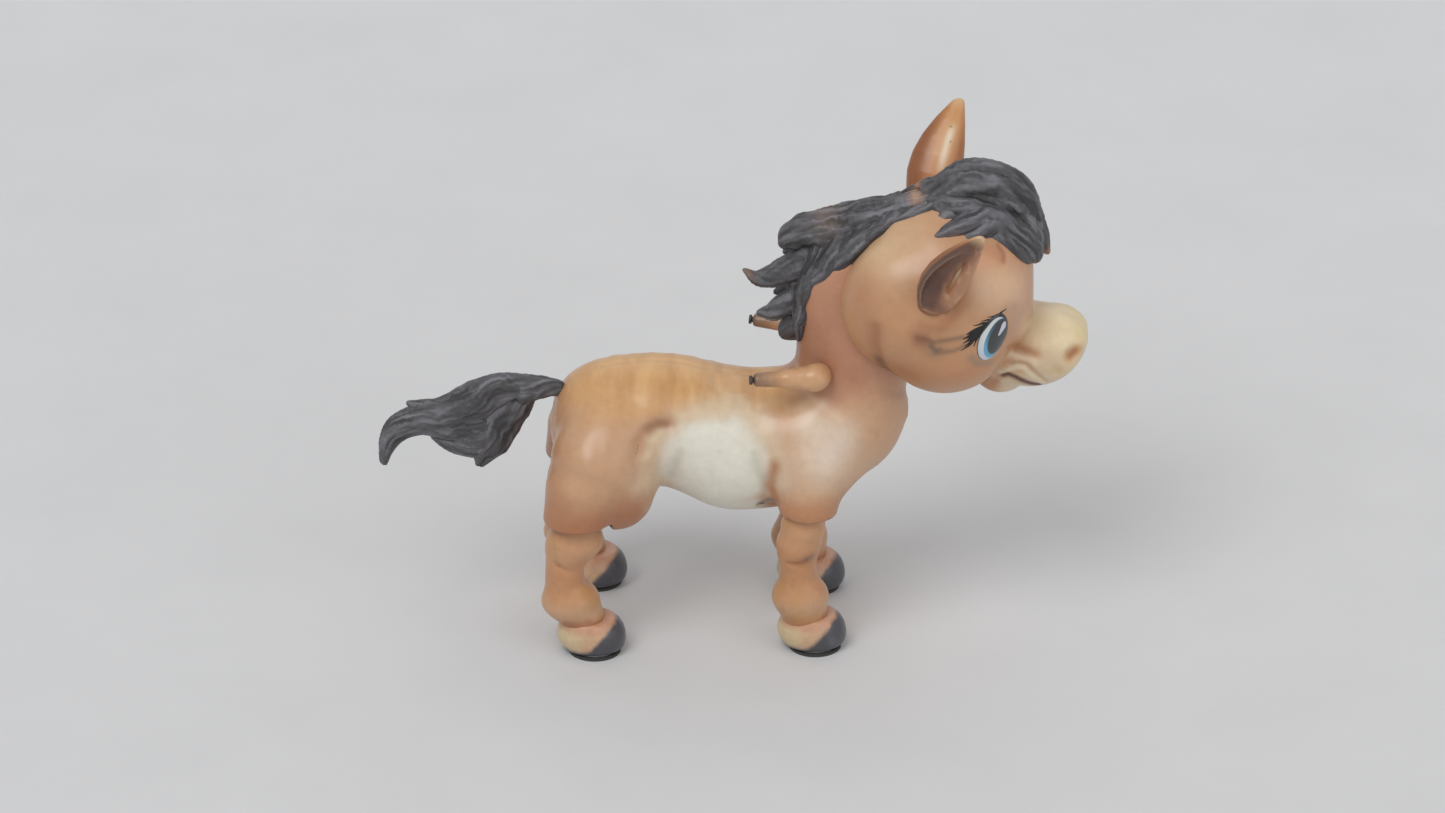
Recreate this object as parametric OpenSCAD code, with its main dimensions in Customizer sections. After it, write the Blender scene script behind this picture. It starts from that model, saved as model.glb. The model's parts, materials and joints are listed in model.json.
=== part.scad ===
// Free-standing ride-on pony for a children's ride. The four legs are planted and carry a
// steel chassis; the body shell rocks on that chassis, driven by a motor inside the belly.
// Millimetres. +X is the way the pony faces, +Y its left side, +Z up.
// Origin: floor level, midway between the four hoof bolts.

/* [Stance] */
// Distance between the front and hind hoof bolts
wheelbase = 444; // [440:1:448]
// Distance between the left and right hoof bolts
track = 272; // [270:1:274]
// Tapped hole in each foot plate, as a tapping drill for M12
bolt_d = 10.2; // [8.5:0.1:10.4]
// Thickness of the rubber pad under each hoof
pad_t = 6; // [4:1:8]

/* [Shell] */
// Wall thickness of the glass-fibre figure
wall = 5; // [4:0.5:6]
// Gap between a leg and the sleeve of the body that hides its top
leg_gap = 12; // [11:0.5:13]
// Length of the removable belly hatch
hatch_l = 96; // [80:2:100]
// Width of the removable belly hatch
hatch_w = 92; // [80:2:100]

/* [Ride] */
// Height of the rocking axle above the floor
pivot_z = 420; // [416:1:424]
// Diameter of the rocking axle
axle_d = 25; // [22:1:26]
// Throw of the eccentric that rocks the body
throw = 6; // [5:0.5:6.5]
// Distance forward from the axle to the drive pin
arm = 100; // [98:1:102]
// Height of the reducer's output shaft
out_z = 324; // [322:1:325]
// Length of the drive rod between centres
rod_l = 116; // [115:1:118]
// Pitch radius of the motor pulley
r_small = 18; // [17:0.5:19]
// Pitch radius of the reducer pulley
r_big = 27; // [26:0.5:28]

/* [Handles] */
// Diameter of the steel grab bar
bar_d = 16; // [14:1:18]
// Travel of each handle button
button_travel = 3; // [2:0.5:4]

/* [Hidden] */

brown = [0.62, 0.40, 0.22];
dark = [0.13, 0.12, 0.13];
cream = [0.80, 0.70, 0.52];
steel = [0.45, 0.47, 0.50];
paint = [0.18, 0.20, 0.23];
wb = wheelbase / 2;
tr = track / 2;
f_leg = [wb - 10, 128];          // axis of a front leg
h_leg = [-262, 147];             // axis of a hind cannon
side = ["left", "right"];
beam_z = 362;                    // axis height of the chassis beams
rail_y = 48;
rail = 30;
front_r = 41;                    // radius of a front leg where it enters the body
hind_r = 42;
front_cut = 298;                 // height of the front sleeves' lower edges
hind_cut = 286;

// ---------- helpers ----------
module rod(a, b, r) {            // straight cylinder from a to b
  v = b - a; l = norm(v);
  translate(a) rotate([0, acos(v.z / l), atan2(v.y, v.x)]) cylinder(h = l, r = r, $fn = 48);
}
module ell(c, r, n = 24) { hull() translate(c) scale(r) sphere(r = 1, $fn = n); }
module link(a, ra, b, rb, n = 24) { hull() { translate(a) sphere(r = ra, $fn = n); translate(b) sphere(r = rb, $fn = n); } }
module both() { children(); mirror([0, 1, 0]) children(); }
module on_side(s) { if (s > 0) children(); else mirror([0, 1, 0]) children(); }
module yrod(x, z, y0, y1, r) { translate([x, y0, z]) rotate([-90, 0, 0]) cylinder(h = y1 - y0, r = r, $fn = 64); }
module xrod(y, z, x0, x1, r) { translate([x0, y, z]) rotate([0, 90, 0]) cylinder(h = x1 - x0, r = r, $fn = 64); }

// ---------- figure ----------
// Stations of the barrel: [x, height of its axis, half height, half width]
stations = [[-303, 440, 5, 5], [-294, 438, 42, 44], [-272, 434, 80, 82], [-226, 427, 118, 120], [-180, 424, 134, 134],
  [-110, 434, 130, 130], [-78, 435, 128, 128], [-40, 425, 134, 134], [8, 405, 141, 141], [52, 395, 141, 141],
  [95, 393, 138, 138], [139, 397, 137, 137], [180, 403, 135, 134], [230, 420, 128, 126], [290, 446, 118, 116],
  [345, 455, 100, 98], [385, 458, 66, 64], [404, 460, 30, 30], [410, 460, 5, 5]];
ring_n = 28;
function ring(s, t) = [for (i = [0 : ring_n - 1]) let (q = 360 * i / ring_n) [s[0] + (s[0] < -290 ? t : s[0] > 400 ? -t : 0), max(s[3] - t, 1) * cos(q), s[1] + max(s[2] - t, 1) * sin(q)]];
module barrel(t = 0) {
  m = len(stations);
  pts = [for (s = stations) each ring(s, t)];
  walls = [for (j = [0 : m - 2]) for (i = [0 : ring_n - 1]) let (a = j * ring_n + i, b = j * ring_n + (i + 1) % ring_n)
    each [[a, b + ring_n, b], [a, a + ring_n, b + ring_n]]];
  polyhedron(points = pts, faces = concat(walls, [[for (i = [0 : ring_n - 1]) i]], [[for (i = [ring_n - 1 : -1 : 0]) (m - 1) * ring_n + i]]), convexity = 6);
}
module neck(t = 0) {
  scale([1, 0.86, 1]) link([290, 0, 455], 120 - t, [305, 0, 590], 112 - t);
  scale([1, 0.74, 1]) link([305, 0, 590], 112 - t, [290, 0, 745], 118 - t);
}
module haunch(t = 0) {           // thigh with the sleeve that hides the top of the hind leg
  ell([-190, 108, 412], [108 - t, 76 - t, 142 - t]);
  link([-212, 122, 392], 84 - t, [-248, 146, 300], hind_r + leg_gap + wall + 2 - t);
  ell([-174, 110, 345], [70 - t, 60 - t, 90 - t]);
}
module shoulder(t = 0) {         // upper arm with the sleeve that hides the top of the front leg
  ell([214, 92, 398], [96 - t, 62 - t, 108 - t]);
  link([212, 110, 384], 64 - t, [204, 128, 312], front_r + leg_gap + wall - t);
}
module figure(t = 0) {
  barrel(t);
  neck(t);
  both() { haunch(t); shoulder(t); }
}
skull_c = [468, 0, 735];
module skull(t = 0) {
  difference() {
    union() {
      ell(skull_c, [190 - t, 200 - t, 200 - t], 32);
      both() ell([470, 86, 668], [128 - t, 104 - t, 122 - t], 24);
    }
    translate([654 - t, -250, 500]) cube([80, 500, 500]);
  }
}
module muzzle_form(t = 0) {
  ell([655, 0, 608], [102 - t, 92 - t, 86 - t], 24);
  ell([604, 0, 556], [72 - t, 64 - t, 50 - t], 20);
}
module leg_wells() {             // room for the legs where they enter the body
  both() {
    translate([204, 128, 180]) cylinder(h = 99, r = 75, $fn = 32);
    translate([104, 86, 180]) cube([200, 140, front_cut - 180]);
    translate([204, 128, 270]) cylinder(h = 54, r = front_r + leg_gap, $fn = 32);
    translate([-250, 146, 160]) cylinder(h = hind_cut - 160, r = 70, $fn = 32);
    translate([-249, 146, 280]) cylinder(h = 60, r = hind_r + leg_gap + 2, $fn = 32);
  }
}
module hatch_block(g = 0) { translate([-14 - hatch_l / 2 - g, -hatch_w / 2 - g, 240]) cube([hatch_l + 2 * g, hatch_w + 2 * g, 70]); }
module half_space(s) { translate([-700, s > 0 ? 0 : -400, 0]) cube([1600, 400, 1200]); }
module on_hatch() { translate([-14, 0, 283]) rotate([0, 25.35, 0]) children(); }   // plane of the sloping belly wall
module hatch_lugs() {            // ears behind the hatch corners that take its screws
  on_hatch() difference() {
    union() {
      translate([37, 34, 10.25]) cube([27, 9, 2.75]);
      translate([55, 34, 7]) cube([9, 9, 6]);
      translate([-64, 34, 8.25]) cube([27, 9, 2.75]);
      translate([-64, 34, 2]) cube([8.5, 9, 9]);
    }
    for (x = [-44.3, 44.3]) translate([x, 38, 0]) cylinder(h = 20, r = 2.6, $fn = 16);
  }
}
module body_shell(s) {
  color(brown) on_side(s) hatch_lugs();
  color(brown) intersection() {
    difference() {
      figure(0);
      figure(wall);
      leg_wells();
      skull(-1);
      hatch_block(1.5);
      both() rod([215, 30, 583], [215, 140, 583], bar_d / 2 + 0.6);
      xrod(0, 503, -320, -240, 5.5);
    }
    half_space(s);
  }
}
module belly_hatch() {
  color(cream) difference() {
    intersection() {
      difference() { figure(0); figure(wall); }
      hatch_block(0);
    }
    for (i = [-3 : 3]) translate([-14 + i * 9 - 2, -22, 240]) cube([4, 44, 60]);
    on_hatch() both() for (x = [-44.3, 44.3]) translate([x, 38, -12]) { cylinder(h = 30, r = 2.6, $fn = 16); cylinder(h = 13.4, r = 6.4, $fn = 24); }
  }
  color(cream) on_hatch() both() for (x = [-18, 18]) translate([x, 30, x > 0 ? -3 : -1.2]) cylinder(h = x > 0 ? 10.8 : 9, r = 3, $fn = 16);
}
module hatch_screws() {
  color(steel) on_hatch() both() for (x = [-44.3, 44.3]) translate([x, 38, -1.5]) { cylinder(h = 2.8, r = 5, $fn = 32); cylinder(h = 16, r = 2.4, $fn = 32); }
}

// ---------- legs ----------
front_profile = [[front_r, 322], [front_r, 300], [43, 262], [46, 232], [46, 205], [39, 178], [36, 160], [36, 140], [44, 122], [53, 104], [54, 92], [50, 74], [44, 62]];
module turned(p, t) { rotate_extrude($fn = 64) polygon(concat([for (q = p) [q[0] - t, q[1]]], [for (i = [len(p) - 1 : -1 : 0]) [0, p[i][1]]])); }
module hollow_turned(p) {
  rotate_extrude($fn = 64) polygon(concat(p, [for (i = [len(p) - 1 : -1 : 0]) [p[i][0] - wall, p[i][1]]]));
}
module front_leg_shell(s) { color(brown) on_side(s) translate([200, 128, 0]) hollow_turned(front_profile); }
hock = [-262, 147, 178];
lower_profile = [[41, 0], [41, -22], [45, -48], [56, -70], [57, -84], [52, -106], [45, -118]];
upper_profile = [[hind_r, 132], [hind_r, 112], [46, 80], [54, 52], [52, 30], [46, 8], [41, 0]];
module hind_leg_solid(t) {
  translate(hock) {
    rotate([0, -8, 0]) turned(lower_profile, t);
    rotate([0, 7, 0]) turned(upper_profile, t);
    sphere(r = 41.5 - t, $fn = 64);
  }
}
module hind_leg_shell(s) {
  color(brown) on_side(s) difference() {
    hind_leg_solid(0);
    hind_leg_solid(wall);
    translate([-330, 90, 300]) cube([140, 120, 30]);
    translate(hock) rotate([0, -8, 0]) translate([0, 0, -130]) cylinder(h = 20, r = 38, $fn = 48);
    translate(hock) rotate([0, 7, 0]) translate([0, 0, 125]) cylinder(h = 20, r = 36, $fn = 48);
  }
}
module hoof(x, y, hx, hy, s) {
  color(dark) on_side(s) difference() {
    translate([x, y, 0]) rotate_extrude($fn = 72) polygon([[0, pad_t], [54, pad_t], [60, pad_t + 5], [62, 18], [62, 30], [57, 45], [48, 58], [0, 58]]);
    translate([x, y, -1]) cylinder(h = 21, r = 46.5, $fn = 64);
    translate([hx, hy, -1]) cylinder(h = 70, r = 28, $fn = 64);
  }
}
front_foot = [218, 128];
hind_foot = [-216, 146];
module front_hoof(s) { hoof(front_foot.x, front_foot.y, 209, 132, s); }
module hind_hoof(s) { hoof(hind_foot.x, hind_foot.y, -236, 142, s); }
module foot_plate(x, y, bx) {
  difference() {
    union() {
      translate([x, y, pad_t]) cylinder(h = 8, r = 45, $fn = 64);
      translate([bx, tr, pad_t + 7]) cylinder(h = 11, r = 10, $fn = 48);
    }
    translate([bx, tr, 0]) cylinder(h = 40, r = bolt_d / 2, $fn = 48);
  }
}
module foot_plates() { color(steel) both() { foot_plate(front_foot.x, front_foot.y, wb); foot_plate(hind_foot.x, hind_foot.y, -wb); } }
module sole_pads() {
  color(dark) both() for (p = [[front_foot.x, front_foot.y, wb], [hind_foot.x, hind_foot.y, -wb]]) difference() {
    translate([p[0], p[1], 0]) cylinder(h = pad_t, r = 51, $fn = 64);
    translate([p[2], tr, -1]) cylinder(h = pad_t + 2, r = bolt_d / 2, $fn = 48);
  }
}

// ---------- chassis ----------
module chassis_frame() {
  color(paint) difference() {
    union() {
      both() {
        translate([196, 128, pad_t + 8]) cylinder(h = beam_z - pad_t - 8, r = 14, $fn = 64);
        translate([-246, 146, pad_t + 8]) cylinder(h = 80, r = 14, $fn = 64);
        rod([-246, 146, pad_t + 80], [-262, 147, 176], 14.4);
        translate([-262, 147, 176]) sphere(r = 15.5, $fn = 64);
        rod([-262, 147, 176], [-216, 147, beam_z], 14.4);
        translate([-216, rail_y - rail / 2, beam_z - rail / 2]) cube([408, rail, rail]);
      }
      yrod(196, beam_z, -146, 146, 17);
      yrod(-216, beam_z, -162, 162, 14.8);
      translate([-216, -33, beam_z - 15]) cube([26, 66, 30]);
    }
    // bolt holes for the bearings and the plates on the rails
    both() for (x = [-24, 24, 66, 80, 120, 174, -166, -60]) translate([x, rail_y, beam_z - 20]) cylinder(h = 40, r = 3.3, $fn = 32);
  }
}
module pivot_bearing(s) {        // pillow block on top of a rail
  color(paint) on_side(s) difference() {
    union() {
      translate([-34, 36, beam_z + 15]) cube([68, 24, 10]);
      yrod(0, pivot_z, 36, 60, 26);
      translate([-17, 36, beam_z + 20]) cube([34, 24, pivot_z - beam_z - 20]);
    }
    yrod(0, pivot_z, 30, 66, axle_d / 2 + 0.05);
    for (x = [-24, 24]) translate([x, rail_y, beam_z]) cylinder(h = 40, r = 3.3, $fn = 32);
  }
}
module motor_plate() {
  color(paint) difference() {
    translate([56, -62, beam_z + 15]) cube([128, 124, 5]);
    both() for (x = [66, 80, 120, 174]) translate([x, rail_y, beam_z]) cylinder(h = 40, r = 3.3, $fn = 32);
    both() for (x = [84, 156]) translate([x, 28, beam_z]) cylinder(h = 40, r = 2.8, $fn = 32);
  }
}
motor_z = 427;
module drive_motor() {
  color([0.30, 0.36, 0.42]) difference() {
    union() {
      xrod(0, motor_z, 54, 176, 40);
      xrod(0, motor_z, 50, 54, 30);
      xrod(0, motor_z, 176, 188, 36);
      for (q = [20 : 20 : 160]) if (q != 80 && q != 100) translate([66, 0, motor_z]) rotate([q - 90, 0, 0]) translate([0, -1.2, 0]) cube([96, 2.4, 43.5]);
      both() translate([76, 20, beam_z + 20]) cube([88, 16, 6]);
      both() translate([76, 20, beam_z + 22]) cube([88, 3, 14]);
      translate([100, -44, motor_z - 14]) cube([40, 14, 28]);
    }
    xrod(0, motor_z, 48, 120, 6.05);
    both() for (x = [84, 156]) translate([x, 28, beam_z + 10]) cylinder(h = 30, r = 2.8, $fn = 32);
  }
}
worm_z = out_z + 30;
module worm_reducer() {          // closed worm box hung below the rails
  color([0.32, 0.33, 0.36]) difference() {
    union() {
      translate([56, -30, out_z - 34]) cube([88, 60, 66]);
      yrod(arm, out_z, -36, 44, 20);
      xrod(0, worm_z, 50, 60, 14);
      translate([72.5, -62, beam_z - 19]) cube([55, 124, 4]);
    }
    yrod(arm, out_z, -26, 26, 29);
    xrod(0, worm_z, 66, 134, 11);
    yrod(arm, out_z, -40, 50, 8.05);
    xrod(0, worm_z, 46, 138, 5.05);
    both() for (x = [80, 120]) translate([x, rail_y, beam_z - 25]) cylinder(h = 20, r = 3.3, $fn = 32);
  }
}
module output_shaft() {
  color(steel) { yrod(arm, out_z, -34, 76, 8); yrod(arm, out_z, -12, 12, 20.5); }
}
module worm_shaft() {
  color(steel) { xrod(0, worm_z, 26, 136, 5); xrod(0, worm_z, 72, 128, 9); }
}
module pulley(x, z, rp, rs) {
  color(steel) difference() {
    translate([x, 0, z]) rotate([0, 90, 0]) rotate_extrude($fn = 72) polygon([[rs, 0], [rp + 2, 0], [rp + 2, 1.5], [rp - 4, 4.5], [rp - 4, 7.5], [rp + 2, 10.5], [rp + 2, 12], [rs, 12]]);
  }
}
module motor_pulley() { pulley(31, motor_z, r_small, 6.02); }
module motor_shaft() { color(steel) xrod(0, motor_z, 28, 118, 6); }
module reducer_pulley() { pulley(31, worm_z, r_big, 5.02); }
module belt_loop(g) {
  hull() { translate([0, motor_z]) circle(r = r_small + g, $fn = 64); translate([0, worm_z]) circle(r = r_big + g, $fn = 64); }
}
module drive_belt() {
  color(dark) translate([35.3, 0, 0]) rotate([90, 0, 90]) linear_extrude(height = 3.4) difference() { belt_loop(0.6); belt_loop(-3.2); }
}
ecc_y = 66;
module eccentric() {
  color(steel) difference() {
    yrod(arm + throw, out_z, ecc_y, ecc_y + 8, 17);
    yrod(arm, out_z, ecc_y - 5, ecc_y + 15, 8);
  }
}
rod_top = out_z + rod_l;
module drive_rod() {
  color([0.55, 0.25, 0.12]) difference() {
    union() {
      yrod(arm + throw, out_z, ecc_y, ecc_y + 7, 25);
      yrod(arm + throw, rod_top, ecc_y, ecc_y + 7, 28);
      translate([arm + throw - 8, ecc_y, out_z + 20]) cube([16, 7, rod_l - 36]);
    }
    yrod(arm + throw, out_z, ecc_y - 5, ecc_y + 15, 17.05);
    yrod(arm + throw, rod_top, ecc_y - 5, ecc_y + 15, 22.5);
  }
}
module rod_bush() {
  color(dark) difference() { yrod(arm + throw, rod_top, ecc_y, ecc_y + 7, 22.45); yrod(arm + throw, rod_top, ecc_y - 1, ecc_y + 9, 6.1); }
}
module drive_pin() { color(steel) { yrod(arm + throw, rod_top, ecc_y - 2, 75, 6); yrod(arm + throw, rod_top, 80, 88, 10); yrod(arm + throw, rod_top, 74, 82, 6); } }
module chassis_bolts() {
  color(steel) both() {
    for (x = [-24, 24]) translate([x, rail_y, 0]) { translate([0, 0, beam_z - 20]) cylinder(h = 50, r = 3, $fn = 32); translate([0, 0, beam_z + 25.2]) cylinder(h = 5, r = 6, $fn = 6); translate([0, 0, beam_z - 20.2]) cylinder(h = 5, r = 6, $fn = 6); }
    for (x = [66, 174, -166, -60]) translate([x, rail_y, 0]) { translate([0, 0, beam_z - 20]) cylinder(h = 45, r = 3, $fn = 32); translate([0, 0, beam_z + (x > 0 ? 20.2 : 18.2)]) cylinder(h = 5, r = 6, $fn = 6); translate([0, 0, beam_z - 20.2]) cylinder(h = 5, r = 6, $fn = 6); }
    for (x = [80, 120]) translate([x, rail_y, 0]) { translate([0, 0, beam_z - 24]) cylinder(h = 49, r = 3, $fn = 32); translate([0, 0, beam_z + 20.2]) cylinder(h = 5, r = 6, $fn = 6); translate([0, 0, beam_z - 24.2]) cylinder(h = 5, r = 6, $fn = 6); }
    for (x = [84, 156]) translate([x, 28, 0]) { translate([0, 0, beam_z + 10]) cylinder(h = 22, r = 2.5, $fn = 32); translate([0, 0, beam_z + 26.1]) cylinder(h = 4, r = 4.5, $fn = 6); }
  }
}
module control_box() {
  color([0.75, 0.76, 0.78]) difference() {
    union() {
      translate([-158, -44, beam_z + 15]) cube([90, 88, 62]);
      both() for (x = [-166, -60]) translate([x - 8, 38, beam_z + 15]) cube([16, 20, 3]);
    }
    translate([-155, -41, beam_z + 18]) cube([84, 82, 70]);
    both() for (x = [-166, -60]) translate([x, rail_y, beam_z]) cylinder(h = 30, r = 3.3, $fn = 32);
    xrod(-20, beam_z + 36, -170, -150, 6.1);
  }
}
module control_box_lid() { color([0.75, 0.76, 0.78]) { translate([-158, -44, beam_z + 77.2]) cube([90, 88, 3]); translate([-154.5, -40.5, beam_z + 73]) cube([83, 81, 5]); } }
module control_board() {
  color([0.10, 0.35, 0.20]) {
    translate([-150, -36, beam_z + 24]) cube([74, 72, 2]);
    for (x = [-1, 1]) for (y = [-1, 1]) translate([-113 + x * 32, y * 31, beam_z + 18]) cylinder(h = 7, r = 3, $fn = 32);
    translate([-142, -28, beam_z + 25]) cube([26, 30, 24]);
    translate([-104, -28, beam_z + 25]) cube([20, 14, 10]);
    translate([-106, 6, beam_z + 25]) cube([24, 22, 14]);
    translate([-136, 16, beam_z + 25]) cylinder(h = 22, r = 8, $fn = 32);
  }
}
cable = [[-147, -20, 398], [-176, -20, 398], [-186, -32, 399], [-206, -100, 399], [-234, -112, 396], [-238, -118, 380], [-238, -122, 340],
  [-240, -123, 309], [-246, -122, 254], [-249, -122, 200], [-248, -122, 176], [-243, -124, 120], [-240, -124, 66]];
module mains_cable() {           // up a hind leg, over the rail and through the gland into the box
  color(dark) for (i = [0 : len(cable) - 2]) link(cable[i], 3, cable[i + 1], 3, 12);
}
module cable_gland() {
  color(dark) difference() {
    union() { xrod(-20, beam_z + 36, -166, -158.2, 9); xrod(-20, beam_z + 36, -158.4, -151, 6); }
    xrod(-20, beam_z + 36, -170, -145, 3.05);
  }
}

// ---------- rocking structure ----------
module rocker_frame() {
  color(steel) difference() {
    union() {
      both() {
        translate([-170, 75, 432]) cube([380, 5, 60]);
        yrod(0, pivot_z, 66, 80, 22);
        translate([-22, 75, pivot_z]) cube([44, 5, 30]);
        translate([arm + throw - 14, 75, rod_top - 14]) cube([28, 5, 20]);
        // tongues laminated into the shell
        for (x = [-130, 150]) translate([x - 20, 79, 446]) cube([40, 38, 5]);
      }
      translate([-168, -78, 482]) cube([10, 156, 10]);
      translate([152, -78, 482]) cube([58, 156, 10]);
    }
    yrod(0, pivot_z, -90, 90, axle_d / 2 + 0.02);
    both() yrod(arm + throw, rod_top, 70, 90, 6.02);
  }
}
module seat_plate() { color(steel) difference() { translate([-120, -80, 492]) cube([240, 160, 4]); for (x = [-80, 0, 80]) translate([x, 0, 480]) cylinder(h = 30, r = 22, $fn = 48); } }
module pivot_axle() { color(steel) yrod(0, pivot_z, -84, 84, axle_d / 2); }
module axle_collars() { color(paint) both() difference() { yrod(0, pivot_z, 80.2, 90, 19); yrod(0, pivot_z, 70, 84.1, axle_d / 2 + 0.02); } }
module speaker() {               // on four bosses behind the hatch's slots
  color(dark) on_hatch() {
    translate([0, 0, 8]) cylinder(h = 3, r = 38, $fn = 64);
    translate([0, 0, 10.5]) cylinder(h = 12, r1 = 34, r2 = 17, $fn = 64);
    translate([0, 0, 22]) cylinder(h = 10, r = 19, $fn = 64);
  }
}

// ---------- head ----------
post_a = [186, 0, 492];          // foot of the neck post on the rocker
post_u = [0.744, 0, 0.668];      // its direction, square to the back of the head
post_l = 178;
post_b = post_a + post_l * post_u;
module on_post(d) { translate(post_a + d * post_u) rotate([0, acos(post_u.z), 0]) children(); }
module head_bore() { for (q = [45 : 90 : 315]) on_post(post_l - 20) rotate([0, 0, q]) translate([32, 0, 0]) cylinder(h = 60, r = 4.2, $fn = 32); }
module head_shell() { color(brown) difference() { skull(0); skull(wall); muzzle_form(-0.6); head_bore(); } }
module muzzle() { color(cream) difference() { muzzle_form(0); muzzle_form(wall); translate([520, -120, 500]) cube([64, 240, 180]); } }
module neck_post() {
  color(steel) difference() {
    union() {
      on_post(-20) cylinder(h = post_l + 18, r = 16, $fn = 64);
      on_post(post_l - 6) cylinder(h = 5, r = 46, $fn = 64);
      translate([152, -40, 492.1]) cube([58, 80, 5]);
    }
    translate([100, -60, 440]) cube([150, 120, 52]);
    head_bore();
  }
}
module head_bolts() { color(steel) for (q = [45 : 90 : 315]) on_post(post_l) rotate([0, 0, q]) translate([32, 0, 0]) { translate([0, 0, -10]) cylinder(h = 32, r = 4, $fn = 32); translate([0, 0, -11.8]) cylinder(h = 5.4, r = 7, $fn = 6); translate([0, 0, 14.5]) cylinder(h = 6, r = 7, $fn = 6); } }
module ear(s) {
  color(brown) on_side(s) difference() {
    union() {
      link([450, 176, 800], 30, [462, 196, 850], 46, 20);
      link([462, 196, 850], 46, [486, 236, 910], 42, 20);
      link([486, 236, 910], 42, [514, 276, 968], 24, 20);
      link([514, 276, 968], 24, [534, 304, 1008], 8, 20);
    }
    link([470, 238, 850], 34, [496, 274, 906], 32, 20);
    link([496, 274, 906], 32, [522, 304, 960], 18, 20);
    skull(-0.5);
  }
}
module eye(s) { color([0.2, 0.45, 0.6]) on_side(s) difference() { ell([571, 176, 716], [22, 14, 46], 28); skull(-0.3); } }
module hair(p) { for (i = [0 : len(p) - 2]) link(p[i][0], p[i][1], p[i + 1][0], p[i + 1][1], 14); }
module mane() {
  color(dark) difference() {
    union() {
      hair([[[430, 0, 905], 52], [[360, 0, 895], 58], [[290, 0, 850], 66], [[225, 0, 800], 62], [[205, 0, 720], 46], [[206, 0, 640], 34], [[196, 0, 560], 26]]);
      both() hair([[[390, 66, 890], 34], [[310, 76, 850], 38], [[240, 66, 790], 34]]);
      hair([[[230, 0, 830], 58], [[185, 0, 850], 40]]);
      hair([[[230, 0, 770], 50], [[150, 0, 752], 24], [[92, 0, 764], 9]]);
      hair([[[210, 0, 700], 42], [[150, 0, 672], 22], [[114, 0, 660], 12]]);
      hair([[[206, 0, 650], 36], [[160, 0, 618], 20]]);
    }
    neck(-0.5);
    skull(-0.5);
    barrel(-0.5);
  }
}
module forelock() {
  color(dark) difference() {
    union() {
      hair([[[452, 0, 922], 52], [[540, 0, 920], 72], [[610, 0, 880], 70], [[646, 0, 830], 50]]);
      both() hair([[[480, 60, 915], 40], [[560, 70, 890], 56], [[620, 64, 850], 46]]);
    }
    skull(-0.5);
    translate([300, -200, 700]) cube([144, 400, 400]);
    hair([[[430, 0, 905], 53], [[360, 0, 895], 59]]);
    both() hair([[[390, 66, 890], 35], [[310, 76, 850], 39]]);
    both() link([462, 196, 850], 47, [450, 176, 800], 31, 20);
  }
}
module tail() {
  color(dark) difference() {
    union() {
      hair([[[-300, 0, 503], 17], [[-350, 0, 512], 24], [[-400, 0, 492], 44], [[-440, 0, 462], 58], [[-490, 0, 440], 46], [[-560, 0, 420], 34], [[-612, 0, 398], 26], [[-636, 0, 362], 12]]);
      hair([[[-440, 0, 420], 46], [[-452, 0, 390], 30], [[-520, 0, 410], 30]]);
      hair([[[-520, 0, 470], 20], [[-584, 0, 474], 8]]);
    }
    barrel(-0.5);
    both() haunch(-0.5);
  }
}
module tail_stud() { color(steel) { xrod(0, 503, -330, -248, 5); xrod(0, 503, -256, -252, 14); } }

// ---------- handles ----------
bar_a = [215, 0, 583];
bar_b = [215, 112, 583];
bar_c = [96, 132, 588];
bar_dir = (bar_c - bar_b) / norm(bar_c - bar_b);
module grab_bar() {
  color(steel) difference() {
    union() {
      yrod(bar_a.x, bar_a.z, -112, 112, bar_d / 2);
      both() { translate([bar_a.x, 112, bar_a.z]) sphere(r = bar_d / 2 + 1.5, $fn = 48); rod([bar_a.x, 112, bar_a.z], bar_c, bar_d / 2); }
    }
    both() rod(bar_c - 8 * bar_dir, bar_c + 20 * bar_dir, 5.6);
  }
}
module grip(s) {
  color(brown) on_side(s) {
    d = bar_c - [bar_a.x, 112, bar_a.z]; u = d / norm(d);
    p0 = [bar_a.x, 112, bar_a.z] + 16 * u;
    translate(p0) rotate([0, acos(u.z), atan2(u.y, u.x)]) rotate_extrude($fn = 64) polygon([[bar_d / 2 + 0.05, 0], [22, 0], [22, 14], [17, 40], [14, 70], [13, 96], [11.5, norm(d) - 16], [bar_d / 2 + 0.05, norm(d) - 16]]);
  }
}
module button(s) {
  color(dark) on_side(s) { rod(bar_c - 3 * bar_dir, bar_c + 4 * bar_dir, 5.5); rod(bar_c + 3.4 * bar_dir, bar_c + 8 * bar_dir, 9); }
}

chassis_frame();
foot_plates();
sole_pads();
front_leg_shell(1);  // front_left_leg_shell
front_leg_shell(-1);  // front_right_leg_shell
hind_leg_shell(1);  // hind_left_leg_shell
hind_leg_shell(-1);  // hind_right_leg_shell
front_hoof(1);  // front_left_hoof
front_hoof(-1);  // front_right_hoof
hind_hoof(1);  // hind_left_hoof
hind_hoof(-1);  // hind_right_hoof
pivot_bearing(1);  // pivot_bearing_left
pivot_bearing(-1);  // pivot_bearing_right
motor_plate();
drive_motor();
worm_reducer();
drive_belt();
control_box();
control_box_lid();
control_board();
mains_cable();
cable_gland();
chassis_bolts();
motor_pulley();
motor_shaft();
reducer_pulley();
worm_shaft();
output_shaft();
eccentric();
drive_rod();
rod_bush();
body_shell(1);  // body_shell_left
body_shell(-1);  // body_shell_right
belly_hatch();
hatch_screws();
speaker();
rocker_frame();
seat_plate();
pivot_axle();
axle_collars();
drive_pin();
head_shell();
muzzle();
neck_post();
head_bolts();
ear(1);  // ear_left
ear(-1);  // ear_right
eye(1);  // eye_left
eye(-1);  // eye_right
mane();
forelock();
tail();
tail_stud();
grab_bar();
grip(1);  // grip_left
grip(-1);  // grip_right
button(1);  // button_left
button(-1);  // button_right
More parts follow.
